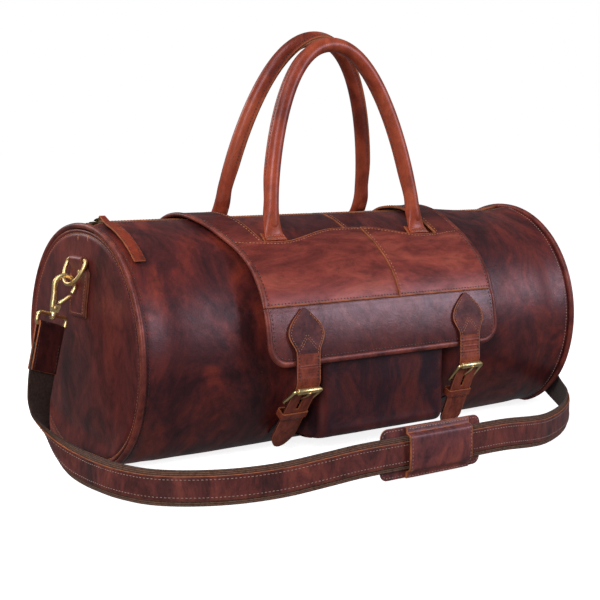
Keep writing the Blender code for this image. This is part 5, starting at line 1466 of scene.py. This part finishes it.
HOOK_AXIS = Vector((-sin(HOOK_LEAN), 0.0, cos(HOOK_LEAN)))
HOOK_ACROSS = square_to(Vector((-sin(HOOK_TURN), -cos(HOOK_TURN), 0.0)), HOOK_AXIS)
HOOK_NORMAL = HOOK_AXIS.cross(HOOK_ACROSS)
HOOK_DROP = RING_WIRE + HOOK_PLAY + 2 * HOOK_WIRE - HOOK_LENGTH
HOOK_START = ring_point(0.0, RING_DEPTH) + HOOK_AXIS * HOOK_DROP - HOOK_ACROSS * (HOOK_SHIFT + HOOK_OFFSET)
GATE_PIVOT = (0.0032, HOOK_BASE_HEIGHT + 0.6 * GATE_WIRE + GAP)
GATE_TIP = (0.0144, 0.0228)
GATE_PIN_HALF, GATE_PIN_RADIUS, EYE_CORNER = 0.0026, 0.0009, 0.004
GATE_PROFILE = [(0.0, 0.85), (0.03, 1.1), (0.10, 1.22), (0.86, 1.22), (0.93, 1.12), (0.96, 0.9), (1.0, 0.9)]
HOOK_BASE = [(0.55, 0.0), (0.78, 0.08), (1.0, 0.92), (0.92, 1.0)]
STUD_DROP = EYE_BOSS_HEIGHT + 2 * GAP
EYE_TOP = -GAP - EYE_BOSS_HEIGHT / 2
EYE_WIDTH = WEBBING_WIDTH + 2 * EYE_WIRE + 4 * GAP
EYE_ACROSS = square_to(Vector((cos(EYE_TURN), -sin(EYE_TURN), 0.0)), HOOK_AXIS)


def hook_place(u, v, w=0.0):
    return HOOK_START + HOOK_ACROSS * u + HOOK_AXIS * v + HOOK_NORMAL * w


EYE_BAR = hook_place(0.0, EYE_TOP - EYE_HEIGHT)


def make_hook(side, sign):
    thick, wide, tall = HOOK_BASE_THICK / 2, HOOK_BASE_WIDTH / 2, HOOK_BASE_HEIGHT

    def place(u, v, w=0.0):
        return flip([hook_place(u, v, w)], sign)[0]

    outline = [(-wide * 0.55, 0.0)] + [(wide * u, tall * v) for u, v in HOOK_BASE]
    outline += [(-wide * u, tall * v) for u, v in reversed(HOOK_BASE[1:])]
    base = prism(outline, -thick, thick, place)
    bow_v = HOOK_LENGTH - HOOK_WIRE - HOOK_BOW_RADIUS
    track = [(-wide * 0.6, tall * 0.6), (-wide * 0.72, tall * 1.2), (-0.0052, 0.020), (-0.0066, 0.026)]
    for a in spread(180.0, -25.0, 30):
        u, v = polar(HOOK_BOW_RADIUS, radians(a))
        track.append((HOOK_SHIFT + u, bow_v + v))
    track.append((GATE_TIP[0] + 0.0008, GATE_TIP[1] + HOOK_WIRE + 2.2 * GAP))
    radii = [HOOK_WIRE * (1.34 - 0.34 * ease(i, 4, 24)) for i in range(len(track) - 1)] + [HOOK_WIRE * 0.92]
    bow = tube([place(u, v) for u, v in track], radii, 18)
    steps = (tall / 2, -STUD_DROP, -STUD_DROP - GAP, -STUD_DROP - STUD_RADIUS)
    stud = tube([place(0.0, v) for v in steps], [STUD_RADIUS * r for r in (1.0, 1.0, 1.7, 1.5)], 14)
    pins = []
    for face in (-1.0, 1.0):
        way = place(0.0, 0.0, face) - place(0.0, 0.0)
        pins.append(disc(place(0.0, tall * 0.55, face * thick), way, *HOOK_RIVET))
    hard("hook_cast_" + side, join(base, bow, stud, *pins), BRASS, "hook_" + side, "brass",
         ["hook_body_" + side], BEVEL)

    start, end = Vector((*GATE_PIVOT, 0.0)), Vector((*GATE_TIP, 0.0))
    path = [place(*(start + (end - start) * s)) for s, _ in GATE_PROFILE]
    rod = tube(path, [GATE_WIRE * r for _, r in GATE_PROFILE], 14)
    ends = [place(GATE_PIVOT[0], GATE_PIVOT[1] + 0.0004, w) for w in (-GATE_PIN_HALF, GATE_PIN_HALF)]
    pin = tube(ends, GATE_PIN_RADIUS, 10)
    hard("hook_latch_" + side, join(rod, pin), BRASS, "gate_" + side, "brass", ["hook_gate_" + side],
         sharp=50.0)


def make_eye(side, sign):
    middle = hook_place(0.0, EYE_TOP - EYE_HEIGHT / 2)
    path = [middle + EYE_ACROSS * u + HOOK_AXIS * v for u, v in rounded(EYE_WIDTH, EYE_HEIGHT, EYE_CORNER)]
    wire = tube(flip(path, sign), EYE_WIRE * 1.15, 14, True)
    bore, wall = STUD_RADIUS + 2 * GAP, EYE_BOSS_RADIUS
    profile = [(bore, -0.5), (wall * 0.86, -0.5), (wall, -0.36)]
    profile += [(r, -h) for r, h in reversed(profile)]
    rings = []
    for a in spread(0.0, 2 * pi, 24)[:-1]:
        way = EYE_ACROSS * cos(a) + HOOK_AXIS.cross(EYE_ACROSS) * sin(a)
        ring = [hook_place(0.0, EYE_TOP + EYE_BOSS_HEIGHT * h) + way * r for r, h in profile]
        rings.append(flip(ring, sign))
    return hard("eye_wire_" + side, join(wire, loft(rings, True)), BRASS, "bag", "brass",
                ["hook_eye_" + side])


# Shoulder strap

FINE = 6
OVERLAY_SEAM, OVERLAY_RIPPLE = 0.0036, 0.0004


def smooth_route():
    """Places along the strap, each with the directions along it, across it and off its outer face."""
    places = spline([Vector(p) for p in STRAP_ROUTE], FINE)
    end = places[-1][1]
    result = []
    for (place, at), (along, _, _) in zip(places, frames([p for p, _ in places])):
        from_end = min(at, end - at)
        stand = ease(from_end, 1.0, 7.0) * pi / 2
        turn = EYE_TURN + (END_TURN - EYE_TURN) * ease(from_end, 1.0, 3.5)
        turned = Vector((cos(turn) * (1.0 if at < (end + 1.0) / 2 else -1.0), sin(turn), 0.0))
        wide = square_to(turned * cos(stand) - Vector((0.0, 0.0, sin(stand))), along)
        result.append((place, along, wide, wide.cross(along)))
    return result


ROUTE = smooth_route()


def band(name, half, out, thick, materials, slot, replaced, first, last, columns, back=0, ripple=0.0):
    """A flat band along the strap's route; out is how far its outer face stands off the middle."""
    shares = spread(-1.0, 1.0, columns)
    rows = []
    for i, (place, _, wide, up) in enumerate(ROUTE[first:last]):
        swell = ripple * (soft_noise(i * 0.35, 2.0) - 0.5)
        rows.append([place + wide * half * s + up * (out + swell * (1.0 - s * s)) for s in shares])
    obj = sheet(name, rows, materials, "bag", slot, replaced, 0, 0.0)
    middle = obj.data.polygons[len(obj.data.polygons) // 2]
    if middle.normal.dot(ROUTE[(first + last) // 2][3]) < 0:
        obj.data.flip_normals()
    flat_map(obj, len(shares), 2 * half, STRAP_LENGTH)
    thicken(obj, thick, FINE_BEVEL, back=back)
    return obj


def make_strap():
    half = WEBBING_THICK / 2
    # The back face and cut edges take the darker webbing copy: painted shade.
    webbing = band("strap_webbing", WEBBING_WIDTH / 2, half, WEBBING_THICK, [WEBBING, WEBBING_BACK_SHADED],
                   "webbing", ["shoulder_webbing"], 0, len(ROUTE), 16, 1)
    lead = 3 * FINE
    out = half + GAP + OVERLAY_THICK
    wide = OVERLAY_WIDTH / 2
    overlay = band("strap_overlay", wide, out, OVERLAY_THICK, [OVERLAY, EDGE], "body_leather",
                   ["shoulder_overlay"], lead, len(ROUTE) - lead, 14, 0, OVERLAY_RIPPLE)
    sewn = ROUTE[lead + 2:len(ROUTE) - lead - 2]
    for s in (-1.0, 1.0):
        track = [place + across * s * (wide - OVERLAY_SEAM) + up * out for place, _, across, up in sewn]
        sew("bag", CREAM_THREAD, track, like_nearest(track, [up for _, _, _, up in sewn]), "overlay")
    return webbing, overlay


def make_strap_end(side, sign):
    place = ROUTE[-1 - FINE][0]
    up = (EYE_BAR - place).normalized()
    out = EYE_ACROSS.cross(up).normalized()
    half = STRAP_END_THICK / 2
    fold = EYE_WIRE + GAP + half
    layer = WEBBING_THICK / 2 + 2 * GAP + half
    length = (EYE_BAR - place).length
    reach = length * 1.30
    track = [(layer, v) for v in spread(reach, length * 0.55, 6)] + [(fold, length * 0.25)]
    track += [(fold * cos(a), -fold * sin(a)) for a in spread(0.0, pi, 14)]
    track += [(-fold, length * 0.25)] + [(-layer, v) for v in spread(length * 0.55, reach, 6)]
    wide = EYE_ACROSS * (WEBBING_WIDTH / 2 - 2 * GAP)
    rows = [flip([EYE_BAR + out * u - up * v + wide * s for s in spread(-1.0, 1.0, 8)], sign)
            for u, v in track]
    obj = sheet("strap_end_leather_" + side, rows, [OVERLAY, EDGE], "bag", "body_leather",
                ["strap_end_" + side], STRAP_END_THICK, FINE_BEVEL,
                centre=flip([EYE_BAR - up * 0.012], sign)[0], offset=0.0)
    shade(obj, "deep", 1.0)
    for face in (-1.0, 1.0):
        for s in (-1.0, 1.0):
            line = [EYE_BAR + out * face * (layer + half) - up * v + wide * s * 0.82
                    for v in spread(length * 0.45, reach - 0.003, 8)]
            sew("bag", BROWN_THREAD, flip(line, sign), flip([out * face], sign)[0], "strap_end")
    return obj


PAD_CORNER, PAD_SEAM = 0.010, 0.003
COVER_SHIFT, COVER_LEATHER, COVER_SEAM, COVER_SWELL, COVER_WAVE = 0.007, 0.0022, 0.0032, 0.0006, 0.0004


def make_pad():
    half = WEBBING_THICK / 2
    behind = half + PAD_CLEAR
    outline = rounded(PAD_LENGTH, PAD_HEIGHT, PAD_CORNER)
    rings = []
    for w, inset in ((0.0, 0.0), (0.35, 0.0), (0.75, 0.0008), (1.0, 0.004)):
        k = 1.0 - inset / (PAD_HEIGHT / 2)
        rings.append([PAD_PLACE + Vector((u * k, behind + PAD_THICK * w, v * k)) for u, v in outline])
    which = [1] * (2 * len(outline)) + [0] * (len(outline) + 2)
    back = piece("pad_leather_back", *loft(rings), [PAD, EDGE], "pad", "saddle_leather", ["pad_back"],
                 which, 50.0)
    fix_normals(back)
    soften(back, SOFT_BEVEL)

    top, cover = PAD_HEIGHT / 2, PAD_COVER_LENGTH / 2
    seat = behind - GAP
    face = -(half + GAP + OVERLAY_THICK + PAD_CLEAR) - PAD_THICK
    profile = [(seat, top - 0.0002), (seat - 0.0028, top - 0.0001), (seat - 0.0032, top - 0.0042),
               (-0.0022, top - 0.0066), (face + 0.0012, top - 0.0090), (face + 0.0002, top - 0.0112)]
    lip = [(y, -z) for y, z in reversed(profile)]
    profile += [(face - 0.0008 * cos(pi * t / 2), (top - 0.0135) * t) for t in spread(1.0, -1.0, 12)] + lip

    def on_cover(x, y, z):
        swell = COVER_SWELL * (1.0 - (x / cover) ** 6) + COVER_WAVE * soft_noise(x * 40.0, 3.0)
        return PAD_PLACE + Vector((COVER_SHIFT + x, y - swell, z))

    rows = grid([-1.0] + spread(-0.97, 0.97, 38) + [1.0], profile, lambda s, p: on_cover(cover * s, *p))
    obj = sheet("pad_leather_cover", rows, [PAD, EDGE], "pad", "saddle_leather", ["pad_cover"], COVER_LEATHER,
                centre=PAD_PLACE + Vector((0.0, 0.02, 0.0)),
                paint=lambda i, j: 1 if i in (0, len(rows) - 2) else 0)
    outward = Vector((0.0, -1.0, 0.0))
    seam = rounded(PAD_LENGTH - 2 * PAD_SEAM, PAD_HEIGHT - 2 * PAD_SEAM, PAD_CORNER - PAD_SEAM)
    for s in (-1.0, 1.0):
        line = [on_cover(x, seat - 0.0031, s * (top - 0.0022))
                for x in spread(PAD_SEAM - cover, cover - PAD_SEAM, 30)]
        sew("pad", CREAM_THREAD, line, outward, "pad")
        edge = [on_cover(s * (cover - COVER_SEAM), y, z) for y, z in profile[4:-4]]
        sew("pad", CREAM_THREAD, edge, outward, "cover")
        rim = [PAD_PLACE + Vector((u, behind, v)) for u, v in seam
               if (u - COVER_SHIFT) * s > cover + PAD_SEAM]
        turn = max(range(len(rim)), key=lambda k: (rim[k] - rim[k - 1]).length)
        rim = rim[turn:] + rim[:turn]
        under = PAD_PLACE.x + COVER_SHIFT + s * (cover + 0.002)
        ends = [Vector((under, rim[k].y, rim[k].z)) for k in (0, -1)]
        sew("pad", CREAM_THREAD, [ends[0]] + rim + [ends[1]], outward, "pad")
    return back, obj


def make_stitches():
    for (body, material), (points, faces) in SEWN.items():
        slot = "saddle_leather" if body in ("bag", "flap", "pad") else "handle_leather"
        piece("stitches_%s_%s" % (body, material.name), points, faces, [material], body, slot)


def make_floor():
    material, tree, out = shader("floor_paper")
    colour = ramp(tree, noise_texture(tree, coordinates(tree), 3.0), [(0.3, grey(0.93)), (0.7, grey(0.96))])
    feed(tree, out, {"Base Color": colour}, Roughness=0.9, Specular_IOR_Level=0.1,
         Emission_Color=(1.0, 1.0, 1.0, 1.0), Emission_Strength=0.85)
    size, low = 40.0, -0.0006
    mesh = bpy.data.meshes.new("floor")
    mesh.from_pydata([(-size, -size, low), (size, -size, low), (size, size, low), (-size, size, low)],
                     [], [(0, 1, 2, 3)])
    mesh.materials.append(material)
    obj = bpy.data.objects.new("floor", mesh)
    obj.visible_diffuse = False
    obj.visible_glossy = False
    scene.collection.objects.link(obj)


webbing, overlay = make_strap()
make_panels()
make_ends()
make_zip()
make_slider()
make_lining()
make_flap()
make_pocket()
for side, sign in SIDES:
    make_saddle(side, sign)
    for make in (make_flap_strap, make_buckle, make_chape, make_keeper):
        make(side, MIDDLE_X + sign * STRAP_SPACING / 2, TAIL_SLOPES[side])
    make_ring_tab(side, sign)
    make_ring(side, sign)
    make_hook(side, sign)
    make_eye(side, sign)
    make_strap_end(side, sign)
for side, _ in FACES:
    make_handle(side)
    make_handle_ends(side)
pad_back, pad_cover = make_pad()
make_stitches()
make_floor()
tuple(STRAP_ROUTE[0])
